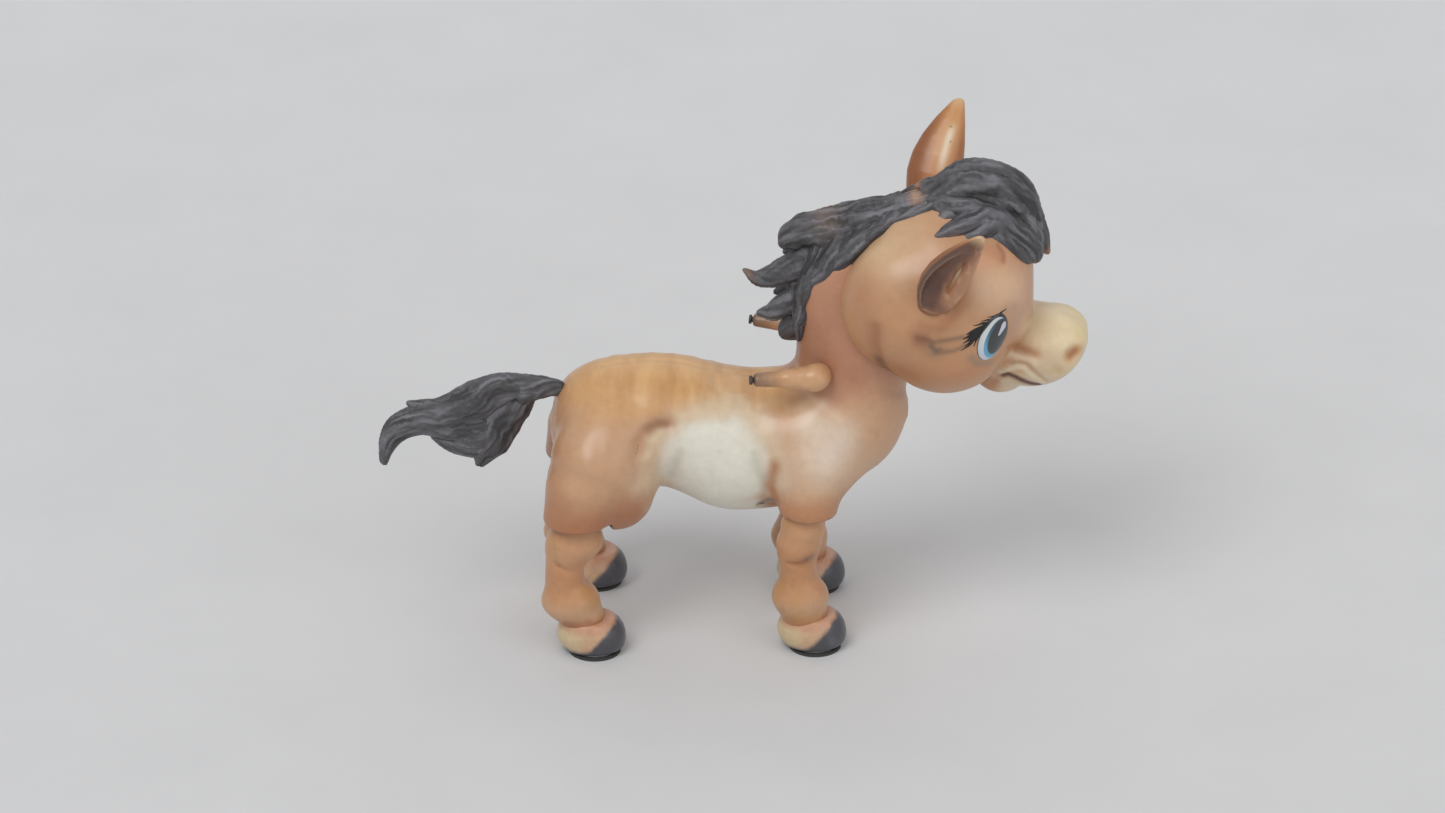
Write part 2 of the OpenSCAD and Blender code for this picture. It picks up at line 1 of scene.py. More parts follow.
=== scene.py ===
"""Looks of the pony ride: skins grown from distance fields in the CAD frame, painted point by point."""
import bpy
import json
import math
import numpy as np
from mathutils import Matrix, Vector


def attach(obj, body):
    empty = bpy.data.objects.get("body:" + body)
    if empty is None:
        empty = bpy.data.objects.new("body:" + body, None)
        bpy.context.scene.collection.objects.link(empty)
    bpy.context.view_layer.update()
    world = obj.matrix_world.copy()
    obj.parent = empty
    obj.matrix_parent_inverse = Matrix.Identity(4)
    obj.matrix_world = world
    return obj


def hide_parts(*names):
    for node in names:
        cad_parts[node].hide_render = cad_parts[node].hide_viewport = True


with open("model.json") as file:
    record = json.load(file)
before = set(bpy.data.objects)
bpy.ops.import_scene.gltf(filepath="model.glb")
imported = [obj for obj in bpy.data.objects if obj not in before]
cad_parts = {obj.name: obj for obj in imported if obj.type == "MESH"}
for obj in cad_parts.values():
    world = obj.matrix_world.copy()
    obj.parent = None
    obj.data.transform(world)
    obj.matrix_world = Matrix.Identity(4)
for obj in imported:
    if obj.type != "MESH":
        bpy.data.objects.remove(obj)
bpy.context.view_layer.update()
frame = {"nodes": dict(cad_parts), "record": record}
Q = 1.0
f4 = np.float32
rng = np.random.default_rng(7)


# ---------------------------------------------------------------- fields
def smin(a, b, k):
    if k <= 0:
        return np.minimum(a, b)
    h = np.maximum(k - np.abs(a - b), 0) / k
    return np.minimum(a, b) - h * h * (k * 0.25)


def smax(a, b, k):
    return -smin(-a, -b, k)


def sstep(a, b, x):
    t = np.clip((x - a) / (b - a), 0, 1)
    return t * t * (3 - 2 * t)


def ell(c, r, rot=None):
    c = np.array(c, float)
    r = np.array(r, float)

    def f(x, y, z):
        px, py, pz = x - c[0], y - c[1], z - c[2]
        if rot is not None:
            R = rot
            px, py, pz = (R[0][0] * px + R[1][0] * py + R[2][0] * pz,
                          R[0][1] * px + R[1][1] * py + R[2][1] * pz,
                          R[0][2] * px + R[1][2] * py + R[2][2] * pz)
        k0 = np.sqrt((px / r[0]) ** 2 + (py / r[1]) ** 2 + (pz / r[2]) ** 2)
        k1 = np.sqrt((px / r[0] ** 2) ** 2 + (py / r[1] ** 2) ** 2 + (pz / r[2] ** 2) ** 2)
        return (k0 * (k0 - 1) / np.maximum(k1, 1e-9)).astype(f4)
    m = max(r)
    lo, hi = (c - r, c + r) if rot is None else (c - m, c + m)
    return f, lo, hi


def cone(a, ra, b, rb, squash=None):
    """Round cone; squash = (axis vector, factor) flattens the section along that axis."""
    a = np.array(a, float)
    b = np.array(b, float)
    ab = b - a
    L2 = max(float(ab @ ab), 1e-9)

    def f(x, y, z):
        px, py, pz = x - a[0], y - a[1], z - a[2]
        t = np.clip((px * ab[0] + py * ab[1] + pz * ab[2]) / L2, 0, 1)
        dx, dy, dz = px - t * ab[0], py - t * ab[1], pz - t * ab[2]
        if squash is not None:
            n, s = squash
            q = (dx * n[0] + dy * n[1] + dz * n[2])
            d = np.sqrt(np.maximum(dx * dx + dy * dy + dz * dz + q * q * (s * s - 1), 0))
        else:
            d = np.sqrt(dx * dx + dy * dy + dz * dz)
        return (d - (ra + (rb - ra) * t)).astype(f4)
    m = max(ra, rb)
    return f, np.minimum(a, b) - m, np.maximum(a, b) + m


class Field:
    """A distance field on a grid; with mirror=True only the +Y half is stored until close()."""

    def __init__(self, lo, hi, h, mirror=False):
        self.h = h
        self.mirror = mirror
        lo = np.array(lo, float)
        hi = np.array(hi, float)
        if mirror:
            lo[1] = h * 0.5
        n = np.ceil((hi - lo) / h).astype(int) + 1
        self.o = lo
        self.ax = [(lo[i] + h * np.arange(n[i])).astype(f4) for i in range(3)]
        self.F = np.full(n, 60.0, f4)

    def sub(self, lo, hi, pad):
        s = []
        for i in range(3):
            a = int(np.searchsorted(self.ax[i], lo[i] - pad))
            b = int(np.searchsorted(self.ax[i], hi[i] + pad))
            s.append(slice(a, b))
        s = tuple(s)
        g = (self.ax[0][s[0]][:, None, None], self.ax[1][s[1]][None, :, None], self.ax[2][s[2]][None, None, :])
        return s, g

    def add(self, prim, k=0.0):
        f, lo, hi = prim
        s, g = self.sub(lo, hi, max(k, 6) + 14)
        if 0 in self.F[s].shape:
            return
        self.F[s] = smin(self.F[s], f(*g), k)

    def cut(self, prim, k=0.0):
        f, lo, hi = prim
        s, g = self.sub(lo, hi, max(k, 6) + 14)
        if 0 in self.F[s].shape:
            return
        self.F[s] = smax(self.F[s], -f(*g), k)

    def groove(self, pts, width, depth):
        """Presses a soft furrow along a line (negative depth raises a ridge)."""
        pts = np.array(pts, float)
        lo, hi = pts.min(0), pts.max(0)
        s, g = self.sub(lo, hi, width * 3)
        if 0 in self.F[s].shape:
            return
        d = None
        n = len(pts) - 1
        for i in range(n):
            f, _, _ = cone(pts[i], 0, pts[i + 1], 0)
            e = f(*g)
            d = e if d is None else np.minimum(d, e)
        self.F[s] += depth * np.exp(-(d / width) ** 2)

    def bump(self, c, r, depth):
        c = np.array(c, float)
        r = np.array(r, float) * np.ones(3)
        s, g = self.sub(c, c, float(r.max()) * 2.6)
        if 0 in self.F[s].shape:
            return
        e = ((g[0] - c[0]) / r[0]) ** 2 + ((g[1] - c[1]) / r[1]) ** 2 + ((g[2] - c[2]) / r[2]) ** 2
        self.F[s] += (depth * np.exp(-e)).astype(f4)

    def grid(self):
        return self.ax[0][:, None, None], self.ax[1][None, :, None], self.ax[2][None, None, :]

    def close(self):
        if self.mirror:
            self.F = np.concatenate([self.F[:, ::-1], self.F], axis=1)
            self.ax[1] = np.concatenate([-self.ax[1][::-1], self.ax[1]])
            self.o[1] = self.ax[1][0]
            self.mirror = False

    def sample(self, p):
        """Trilinear value and gradient at points p (mm)."""
        q = (p - self.o) / self.h
        n = np.array(self.F.shape)
        q = np.clip(q, 0, n - 1.001)
        i = q.astype(int)
        t = (q - i).astype(f4)
        F = self.F
        x, y, z = i.T
        c = {}
        for a in (0, 1):
            for b in (0, 1):
                for d in (0, 1):
                    c[a, b, d] = F[x + a, y + b, z + d]
        tx, ty, tz = t.T
        c00 = c[0, 0, 0] * (1 - tx) + c[1, 0, 0] * tx
        c01 = c[0, 0, 1] * (1 - tx) + c[1, 0, 1] * tx
        c10 = c[0, 1, 0] * (1 - tx) + c[1, 1, 0] * tx
        c11 = c[0, 1, 1] * (1 - tx) + c[1, 1, 1] * tx
        c0 = c00 * (1 - ty) + c10 * ty
        c1 = c01 * (1 - ty) + c11 * ty
        return c0 * (1 - tz) + c1 * tz

    def grad(self, p, e=None):
        e = e or self.h * 0.8
        g = np.empty_like(p)
        for k in range(3):
            d = np.zeros(3)
            d[k] = e
            g[:, k] = self.sample(p + d) - self.sample(p - d)
        return g / np.maximum(np.linalg.norm(g, axis=1, keepdims=True), 1e-9)

    def mesh(self, steps=2):
        self.close()
        F = self.F
        S = F < 0
        n = F.shape
        any_in = np.zeros((n[0] - 1, n[1] - 1, n[2] - 1), bool)
        all_in = np.ones_like(any_in)
        for a in (0, 1):
            for b in (0, 1):
                for c in (0, 1):
                    v = S[a:n[0] - 1 + a, b:n[1] - 1 + b, c:n[2] - 1 + c]
                    any_in |= v
                    all_in &= v
        act = any_in & ~all_in
        ci = np.argwhere(act)
        idx = np.full(act.shape, -1, np.int32)
        idx[act] = np.arange(len(ci))
        corners = [(a, b, c) for a in (0, 1) for b in (0, 1) for c in (0, 1)]
        val = {k: F[ci[:, 0] + k[0], ci[:, 1] + k[1], ci[:, 2] + k[2]] for k in corners}
        acc = np.zeros((len(ci), 3))
        cnt = np.zeros(len(ci))
        for k in corners:
            for axis in range(3):
                if k[axis]:
                    continue
                k2 = list(k)
                k2[axis] = 1
                u, v = val[k], val[tuple(k2)]
                cross = (u < 0) != (v < 0)
                t = np.where(cross, u / np.where(cross, u - v, 1), 0)
                p = np.array(k, float)[None, :].repeat(len(ci), 0)
                p[:, axis] += t
                acc += np.where(cross[:, None], p, 0)
                cnt += cross
        P = (ci + acc / cnt[:, None]) * self.h + self.o
        for _ in range(steps):
            d = self.sample(P)
            g = self.grad(P)
            P = P - g * np.clip(d, -self.h * 0.5, self.h * 0.5)[:, None]
        quads = []
        for axis in range(3):
            u, w = [(1, 2), (2, 0), (0, 1)][axis]
            A = np.moveaxis(S, axis, 0)
            sa = [slice(None)] * 3
            sb = [slice(None)] * 3
            sa[axis], sb[axis] = slice(0, -1), slice(1, None)
            for d in (u, w):
                sa[d] = sb[d] = slice(1, -1)
            a, b = S[tuple(sa)], S[tuple(sb)]
            for mask, flip in ((a & ~b, False), (~a & b, True)):
                e = np.argwhere(mask)
                if not len(e):
                    continue
                e[:, u] += 1
                e[:, w] += 1
                q = []
                for du, dw in ((-1, -1), (0, -1), (0, 0), (-1, 0)):
                    c = e.copy()
                    c[:, u] += du
                    c[:, w] += dw
                    q.append(idx[c[:, 0], c[:, 1], c[:, 2]])
                q = np.stack(q, 1)
                if flip:
                    q = q[:, ::-1]
                quads.append(q)
        return P, np.concatenate(quads)


def loose(P, Q4, keep=1):
    """Keeps the largest connected pieces of a mesh."""
    n = len(P)
    lab = np.arange(n)
    E = np.concatenate([Q4[:, [0, 1]], Q4[:, [1, 2]], Q4[:, [2, 3]], Q4[:, [3, 0]]])
    while True:
        m = np.minimum(lab[E[:, 0]], lab[E[:, 1]])
        new = lab.copy()
        np.minimum.at(new, E[:, 0], m)
        np.minimum.at(new, E[:, 1], m)
        new = new[new]
        if (new == lab).all():
            break
        lab = new
    u, c = np.unique(lab, return_counts=True)
    good = u[np.argsort(-c)[:keep]]
    sel = np.isin(lab, good)
    m = -np.ones(n, int)
    m[sel] = np.arange(sel.sum())
    return P[sel], m[Q4[sel[Q4[:, 0]]]]


def make(name, P, faces, paint=None, mat=None, smooth=True, extra=None):
    me = bpy.data.meshes.new(name)
    k = faces.shape[1]
    me.vertices.add(len(P))
    me.vertices.foreach_set("co", (np.asarray(P, float) * 0.001).astype(f4).ravel())
    me.loops.add(faces.size)
    me.loops.foreach_set("vertex_index", faces.astype(np.int32).ravel())
    me.polygons.add(len(faces))
    me.polygons.foreach_set("loop_start", np.arange(0, faces.size, k, dtype=np.int32))
    me.polygons.foreach_set("loop_total", np.full(len(faces), k, np.int32))
    me.update(calc_edges=True)
    me.validate()
    if smooth:
        me.polygons.foreach_set("use_smooth", np.ones(len(me.polygons), bool))
    if paint is not None:
        a = me.color_attributes.new(name="paint", type="FLOAT_COLOR", domain="POINT")
        c = np.ones((len(P), 4), f4)
        c[:, :3] = paint
        a.data.foreach_set("color", c.ravel())
    for key, v in (extra or {}).items():
        a = me.attributes.new(name=key, type="FLOAT", domain="POINT")
        a.data.foreach_set("value", v.astype(f4))
    ob = bpy.data.objects.new(name, me)
    bpy.context.scene.collection.objects.link(ob)
    if mat:
        me.materials.append(mat)
    return ob


def dist_line(P, pts):
    pts = np.array(pts, float)
    d = np.full(len(P), 1e9)
    for a, b in zip(pts[:-1], pts[1:]):
        ab = b - a
        t = np.clip((P - a) @ ab / max(ab @ ab, 1e-9), 0, 1)
        d = np.minimum(d, np.linalg.norm(P - a - t[:, None] * ab, axis=1))
    return d


def lin(rgb):
    """sRGB 0-255 to linear."""
    c = np.array(rgb, float) / 255
    return np.where(c <= 0.04045, c / 12.92, ((c + 0.055) / 1.055) ** 2.4)


def mixc(c, col, w):
    return c + (lin(col) - c) * np.clip(w, 0, 1)[:, None]


def vnoise(P, scale, seed=0):
    """Smooth value noise, 0 to 1, on points."""
    q = P / scale + seed * 17.13
    i = np.floor(q).astype(np.int64)
    t = q - i
    t = t * t * (3 - 2 * t)

    def h(a, b, c):
        n = (a * 73856093) ^ (b * 19349663) ^ (c * 83492791) ^ (seed * 2654435761)
        n = (n ^ (n >> 13)) * 1274126177
        n = n ^ (n >> 16)
        return (n & 0xFFFF) / 65535.0
    out = 0
    for a in (0, 1):
        for b in (0, 1):
            for c in (0, 1):
                w = (t[:, 0] if a else 1 - t[:, 0]) * (t[:, 1] if b else 1 - t[:, 1]) * (t[:, 2] if c else 1 - t[:, 2])
                out = out + w * h(i[:, 0] + a, i[:, 1] + b, i[:, 2] + c)
    return out


def fbm(P, scale, seed=0, n=4):
    out, amp, tot = 0, 1.0, 0
    for k in range(n):
        out = out + amp * vnoise(P, scale / 2 ** k, seed + k)
        tot += amp
        amp *= 0.5
    return out / tot


# ---------------------------------------------------------------- body of the figure
ST = np.array([[-303, 440, 5, 5], [-294, 438, 42, 44], [-272, 434, 80, 82], [-226, 427, 118, 120], [-180, 424, 134, 134],
               [-110, 434, 131, 130], [-78, 435, 129, 128], [-40, 425, 135, 134], [8, 405, 141, 141], [52, 395, 141, 141],
               [95, 393, 138, 138], [139, 397, 137, 137], [180, 403, 135, 134], [230, 420, 128, 126], [290, 446, 118, 116],
               [332, 455, 100, 98], [367, 458, 66, 64], [384, 460, 30, 30], [390, 460, 5, 5]], float)


def pick(Fd, pts, side=-1.0):
    """Points where sight lines of the front-right view meet the surface. pts are (across, down) in view units."""
    out = []
    for u, v in pts:
        d = np.array([(u - 722.5) / 10034.7, 0.8910 - 0.4540 * (v - 406.5) / 10034.7, -0.4540 - 0.8910 * (v - 406.5) / 10034.7])
        q = np.array([35.3, -17553.0, 9407.0])
        q = q + d * ((-420.0 - q[1]) / d[1])
        t = np.arange(0, 700, 0.7)
        P = q + t[:, None] * d
        A = P.copy()
        if Fd.mirror:
            A[:, 1] = np.abs(A[:, 1])
        F = Fd.sample(A)
        inside = (A > Fd.o).all(1) & (A < np.array([a[-1] for a in Fd.ax])).all(1)
        h = np.nonzero((F < 0.2) & inside)[0]
        if not len(h):
            h = [int(np.argmin(np.where(inside, F, 99)))]
        p = P[h[0]].copy()
        p[1] = abs(p[1]) if side > 0 else p[1]
        out.append(p)
    return np.array(out)


def loft():
    xs = np.linspace(-303, 410, 240)
    k = np.exp(-((xs[:, None] - xs[None, :]) / 14.0) ** 2)
    k /= k.sum(1, keepdims=True)
    C, H, W = [k @ np.interp(xs, ST[:, 0], ST[:, i]) for i in (1, 2, 3)]

    def f(x, y, z):
        c = np.interp(x, xs, C)
        h = np.maximum(np.interp(x, xs, H) + 1.5, 4)
        w = np.maximum(np.interp(x, xs, W) + 1.5, 4)
        k0 = np.sqrt((y / w) ** 2 + ((z - c) / h) ** 2)
        k1 = np.sqrt((y / w ** 2) ** 2 + ((z - c) / h ** 2) ** 2)
        d = np.where(k0 > 1e-4, k0 * (k0 - 1) / np.maximum(k1, 1e-9), -h)
        e = np.maximum(-285 - x, x - 392)
        return np.maximum(d * 0.93, e).astype(f4)
    return f, np.array([-303, -142, 250.0]), np.array([410, 142, 575.0])


def body_field(h):
    B = Field([-330, 0, 232], [430, 214, 880], h, mirror=True)
    B.add(loft())
    B.add(ell([-200, 0, 424], [104, 112, 120]), 14)
    B.add(ell([254, 0, 440], [127, 116, 122]), 26)
    # neck
    B.add(cone([277, 0, 462], 107, [296, 0, 592], 111, ((0, 1, 0), 1.16)), 42)
    B.add(cone([297, 0, 592], 112, [290, 0, 742], 117, ((0, 1, 0), 1.38)), 18)
    # haunch and the sleeve that hides the hind leg's top
    B.add(ell([-192, 98, 398], [106, 86, 112]), 30)
    B.add(cone([-212, 122, 392], 82, [-248, 146, 300], 60.5), 26)
    B.add(cone([-238, 137, 348], 74, [-250, 146, 292], 65), 12)
    B.add(ell([-172, 112, 345], [76, 62, 90]), 24)
    # shoulder and its sleeve
    B.add(ell([216, 90, 402], [92, 60, 100]), 42)
    B.add(cone([212, 110, 384], 64, [204, 128, 312], 58), 26)
    return B


FLANK = [(643, 450), (643, 440), (648, 431), (657, 426), (669, 424)]


def body_details(B):
    # flank fold that runs up from the stifle and curls forward
    B.groove(pick(B, FLANK, 1.0), 14, 6)
    B.groove(pick(B, [(640, 478), (636, 462), (637, 446)], 1.0), 16, 4)
    B.groove([[-94, 112, 318], [-76, 104, 300]], 10, 6)
    B.bump([-60, 126, 372], [40, 30, 44], 3)
    # ribs, just felt through the coat
    for x0 in (-30, 8, 46, 84):
        B.groove([[x0 - 6, 124, 452], [x0 + 4, 138, 405], [x0 + 18, 131, 352]], 9, 1.0)
    # spine
    B.groove([[-236, 0, 552], [-120, 0, 572], [0, 0, 554], [90, 0, 538], [150, 0, 540]], 8, 1.6)
    for x0 in (-214, -178, -140, -102, -64, -26, 12, 50, 88):
        B.groove([[x0, 44, 556], [x0 + 6, 76, 524], [x0 + 2, 92, 504]], 9, -1.3)
    # behind the elbow, and between shoulder and chest
    B.groove([[118, 118, 322], [124, 134, 352], [128, 140, 392], [122, 136, 432]], 13, 5)
    B.groove([[120, 104, 300], [132, 100, 286]], 14, 6)
    B.groove([[284, 88, 352], [296, 92, 392], [300, 96, 436], [290, 98, 476]], 14, 3.5)
    B.groove([[228, 118, 470], [258, 108, 520], [300, 104, 552]], 20, 2.2)
    B.groove([[404, 0, 500], [398, 0, 440], [364, 0, 372], [320, 0, 330]], 10, 3.0)
    # haunch muscles
    B.groove([[-246, 168, 352], [-222, 180, 392], [-206, 182, 440], [-204, 170, 486]], 18, 1.8)
    B.groove([[-296, 60, 430], [-298, 84, 372], [-292, 104, 330]], 12, 3.5)
    B.groove([[-300, 0, 470], [-303, 0, 420], [-286, 0, 352]], 12, 4.0)
    # throat folds under the jaw
    B.groove([[398, 20, 506], [384, 70, 520], [352, 106, 540]], 8, 2.2)
    B.groove([[192, 92, 700], [186, 86, 640], [196, 92, 590]], 16, 1.8)
    B.groove([[176, 62, 575], [204, 98, 560], [250, 118, 552]], 14, 2.6)


def body_wells(B, wall):
    G = B.grid()
    B.F = np.maximum(B.F, -(B.F + wall))
    # the legs' room and the sleeves' lower edges
    def cyl(cx, cy, r, z0, z1):
        def f(x, y, z):
            return np.maximum(np.sqrt((x - cx) ** 2 + (y - cy) ** 2) - r, np.maximum(z0 - z, z - z1)).astype(f4)
        return f, np.array([cx - r, cy - r, z0]), np.array([cx + r, cy + r, z1])

    def boxf(lo, hi):
        def f(x, y, z):
            return np.maximum(np.maximum(np.maximum(lo[0] - x, x - hi[0]), np.maximum(lo[1] - y, y - hi[1])),
                              np.maximum(lo[2] - z, z - hi[2])).astype(f4)
        return f, np.array(lo, float), np.array(hi, float)
    B.cut(cyl(204, 128, 75, 180, 279), 2)
    B.cut(boxf([104, 86, 180], [304, 240, 298]), 2)
    B.cut(cyl(204, 128, 53, 270, 322), 2)
    B.cut(cyl(-250, 146, 69, 160, 287), 7)
    B.cut(cyl(-249, 146, 57, 270, 329), 3)
    B.cut(boxf([-14 - 49.5, -1, 230], [-14 + 49.5, 47.5, 320]), 0)
    # room for the head
    B.cut(ell([468, 0, 735], [191.5, 201.5, 201.5]), 0)


def paint_body(B, P, N, out):
    x, y, z = P.T
    ay = np.abs(y)
    n1 = fbm(P, 90, 1)
    n2 = fbm(P, 28, 5)
    n3 = fbm(P, 9, 9, 3)
    w = P + (np.stack([n1, n2, n1[::-1] * 0 + n2], 1) - 0.5) * np.array([44, 24, 26])
    wx, wy, wz = w.T
    c = np.tile(lin([200, 156, 120]), (len(P), 1))
    # back: warm orange tan with upright brush marks
    back = sstep(470, 530, wz) * sstep(-330, -250, wx) * (1 - sstep(130, 230, wx))
    c = mixc(c, [208, 158, 98], back * 0.85)
    streak = fbm(P * np.array([1.0, 0.25, 0.25]), 26, 21, 3)
    c = mixc(c, [184, 134, 80], back * sstep(0.5, 0.72, streak) * 0.55)
    c = mixc(c, [226, 184, 126], back * sstep(0.52, 0.3, streak) * 0.4)
    # flank and belly: chalky cream
    cx = (wx - 20) / np.where(wx < 22, 150, 148)
    cz = (wz - 396) / 126
    cream = 1 - sstep(0.58, 1.22, np.sqrt(cx ** 2 + cz ** 2))
    under = (1 - sstep(300, 350, wz)) * (1 - sstep(110, 150, np.abs(wx - 10)))
    cream = np.maximum(cream, under)
    c = mixc(c, [228, 225, 210], cream * 0.97)
    c = mixc(c, [212, 204, 188], cream * sstep(0.5, 0.75, n2) * 0.25)
    rim = sstep(0.1, 0.5, cream) * (1 - sstep(0.5, 0.95, cream))
    c = mixc(c, [214, 188, 150], rim * 0.6)
    # chest and shoulder: paler tan, deeper low down
    sh = np.exp(-(((wx - 225) / 95) ** 2 + ((wz - 420) / 80) ** 2))
    c = mixc(c, [208, 176, 142], sh * 0.6)
    low = (1 - sstep(318, 378, wz)) * sstep(90, 140, wx)
    c = mixc(c, [178, 118, 76], low * 0.75)
    # neck: pinkish tan, darker under the jaw and mane; the darkening towards the mane is painted shade
    neck = sstep(500, 590, wz) * sstep(120, 190, wx)
    c = mixc(c, [190, 134, 104], neck * 0.85)
    c = mixc(c, [168, 108, 78], neck * sstep(0.45, 0.8, n1) * 0.5)
    c = mixc(c, [150, 92, 64], neck * (1 - sstep(165, 215, x)) * 0.45)
    # haunch: a painted highlight in lighter caramel on its round, orange-brown at the bottom and back
    haunch_highlight = np.exp(-(((wx + 190) / 100) ** 2 + ((wz - 430) / 90) ** 2))
    c = mixc(c, [196, 152, 116], haunch_highlight * 0.7)
    hl = (1 - sstep(300, 392, wz)) * (1 - sstep(-130, -84, wx))
    c = mixc(c, [166, 104, 66], hl * 0.85)
    c = mixc(c, [176, 122, 84], (1 - sstep(-300, -248, wx)) * 0.5)
    # painted shade in the folds, behind the elbow, along the collar and in the throat folds, and painted highlights on
    # the ridges beside them and on the shoulder
    for pts, wd, col, a in (
            (pick(B, FLANK, 1.0), 15, [182, 126, 84], 0.6),
            (pick(B, [(650, 429), (658, 425), (664, 424)], 1.0), 13, [140, 92, 62], 0.75),
            (pick(B, [(648, 455), (650, 441), (660, 433)], 1.0), 12, [214, 196, 162], 0.5),
            (pick(B, [(672, 474), (676, 462), (680, 452)], 1.0), 12, [186, 178, 158], 0.45),
            (pick(B, [(776, 500), (770, 484), (775, 466)], 1.0), 15, [178, 116, 70], 0.85),
            (pick(B, [(774, 501), (768, 500), (762, 502)], 1.0), 9, [112, 84, 70], 0.8),
            (pick(B, [(764, 478), (757, 468), (755, 455)], 1.0), 12, [184, 180, 160], 0.5),
            (pick(B, [(812, 428), (828, 432), (842, 438)], 1.0), 34, [224, 212, 194], 0.5),
            (pick(B, [(806, 412), (812, 424)], 1.0), 22, [222, 202, 172], 0.35),
            (pick(B, [(797, 366), (803, 384), (812, 398), (840, 420)], 1.0), 9, [226, 198, 166], 0.5),
            (pick(B, [(800, 372), (815, 384), (838, 398)], 1.0), 16, [186, 132, 104], 0.5),
            ([[-94, 112, 318], [-76, 104, 300]], 16, [190, 160, 120], 0.6),
            ([[398, 20, 506], [384, 70, 520], [352, 106, 540]], 14, [150, 96, 66], 0.5)):
        pts = np.array(pts, float)
        d = dist_line(np.stack([x, ay, z], 1), pts)
        c = mixc(c, col, a * np.exp(-(d / wd) ** 2))
    # grime and rubbed-through spots
    c = mixc(c, [120, 84, 60], sstep(0.70, 0.86, n2) * 0.12)
    c = mixc(c, [228, 206, 176], sstep(0.7, 0.86, fbm(P, 14, 33, 3)) * 0.08)
    # painted highlight on the side of the shoulder
    q = np.exp(-(((x - 236) / 52) ** 2 + ((z - 424) / 52) ** 2 + ((ay - 140) / 60) ** 2))
    c = mixc(c, [226, 208, 190], q * 0.8)
    # painted shade on the neck below the mane
    q = np.exp(-(((x - 190) / 60) ** 2 + ((z - 610) / 70) ** 2)) * sstep(520, 560, z)
    c = mixc(c, [140, 96, 72], q * 0.6)
    return c


def cavity(Fd, P, N, e):
    """Positive in folds, negative on ridges."""
    a = Fd.sample(P + N * e)
    b = Fd.sample(P - N * e)
    s = 0
    t = np.cross(N, [0.31, 0.55, 0.77])
    t /= np.linalg.norm(t, axis=1, keepdims=True) + 1e-9
    u = np.cross(N, t)
    for d in (t, u, -t, -u):
        s = s + Fd.sample(P + d * e)
    return np.clip(-(s / 4) / e, -1, 1)


# ---------------------------------------------------------------- head
SK = np.array([468.0, 0, 735.0])


def head_field(h):
    H = Field([246, 0, 480], [772, 214, 952], h, mirror=True)
    H.add(ell(SK, [190, 200, 196]))
    H.add(ell([417, 84, 732], [152, 112, 150]), 10)
    H.add(ell([468, 86, 668], [128, 104, 121]), 12)
    # flat forehead
    G = H.grid()
    H.F = smax(H.F, (G[0] - 640.5).astype(f4) + 0 * H.F, 10)
    # muzzle, with a clear step under the forehead
    M = Field([246, 0, 480], [772, 214, 952], h, mirror=True)
    M.add(ell([650, 0, 601], [104, 92, 80]))
    M.add(ell([600, 40, 606], [80, 60, 60]), 30)
    M.add(ell([704, 30, 600], [46, 54, 60]), 30)
    M.add(ell([580, 0, 548], [54, 60, 44]), 9)
    # the front of the muzzle slants back down to the lips
    M.F = smax(M.F, ((G[0] - 756) * 0.737 - (G[2] - 612) * 0.675 + 0 * G[1]).astype(f4), 30)
    # and its top slopes forward
    M.F = smax(M.F, ((G[0] - 722) * 0.42 + (G[2] - 676) * 0.907 + 0 * G[1]).astype(f4), 22)
    H.F = smin(H.F, M.F, 14)
    return H


def head_details(H):
    g = lambda pts, w, d: H.groove(pick(H, pts, 1.0), w, d)
    # slit of the mouth, lips and the folds above them
    g(MOUTH, 4.4, 8)
    g(LIP, 6.5, -3.2)
    g(FOLD, 4.6, 3.6)
    g(SMILE, 7.5, 4.6)
    g(z5((560, 610), (660, 640), (760, 665), (850, 720)), 9, -2.2)
    g(z5((400, 880), (480, 925), (570, 935), (640, 915)), 7, -2.6)
    g(z5((380, 800), (420, 850), (400, 900), (340, 940)), 6, 2.6)
    # nostril: a soft slanting dimple with a raised rim
    n = pick(H, z5((1235, 620), (1290, 560)), 1.0)
    H.bump(n[0], [15, 13, 16], 7.5)
    H.bump(n[1], [15, 13, 16], 8.5)
    rim = pick(H, z5((1190, 540), (1250, 500), (1330, 500)), 1.0)
    H.groove(rim, 8, -2.6)
    d = pick(H, z5((1110, 800), (1040, 740)), 1.0)
    H.bump(d[0], 12, 3.0)
    # jaw line, wrinkles behind the eye, root of the ear
    g(CHEEK, 9, 3.8)
    g(JAWFOLD, 5, 2.4)
    g(JAWFOLD2, 5.5, 2.6)
    g(z4((560, 1010), (600, 1070), (560, 1100)), 6, -2.6)
    g(z4((430, 1000), (480, 960), (520, 900), (560, 880)), 12, 3.2)
    g(z4((620, 930), (660, 950), (700, 930)), 10, -3.0)
    g(EARFOLD, 8, 3.0)
    g(z4((640, 905), (720, 905), (790, 930)), 12, 1.8)
    g(z4((960, 460), (1000, 520), (985, 560)), 8, 2.5)
    g(z4((800, 1190), (900, 1170), (980, 1090)), 9, 1.8)
    c = pick(H, z4((330, 1000), (560, 1220), (640, 800), (440, 890)), 1.0)
    H.bump(c[0], [50, 34, 50], -3.0)
    H.bump(c[1], [70, 40, 40], -2.5)
    H.bump(c[2], [20, 16, 24], -3.0)
    H.bump(c[3], [34, 24, 26], 3.0)


def z5(*xy):
    """Enlarged muzzle drawing units to view units."""
    return [(960 + x / 11.2, 300 + y / 11.2) for x, y in xy]


def z4(*xy):
    """Enlarged head drawing units to view units."""
    return [(840 + x / 6.03, 170 + y / 6.03) for x, y in xy]


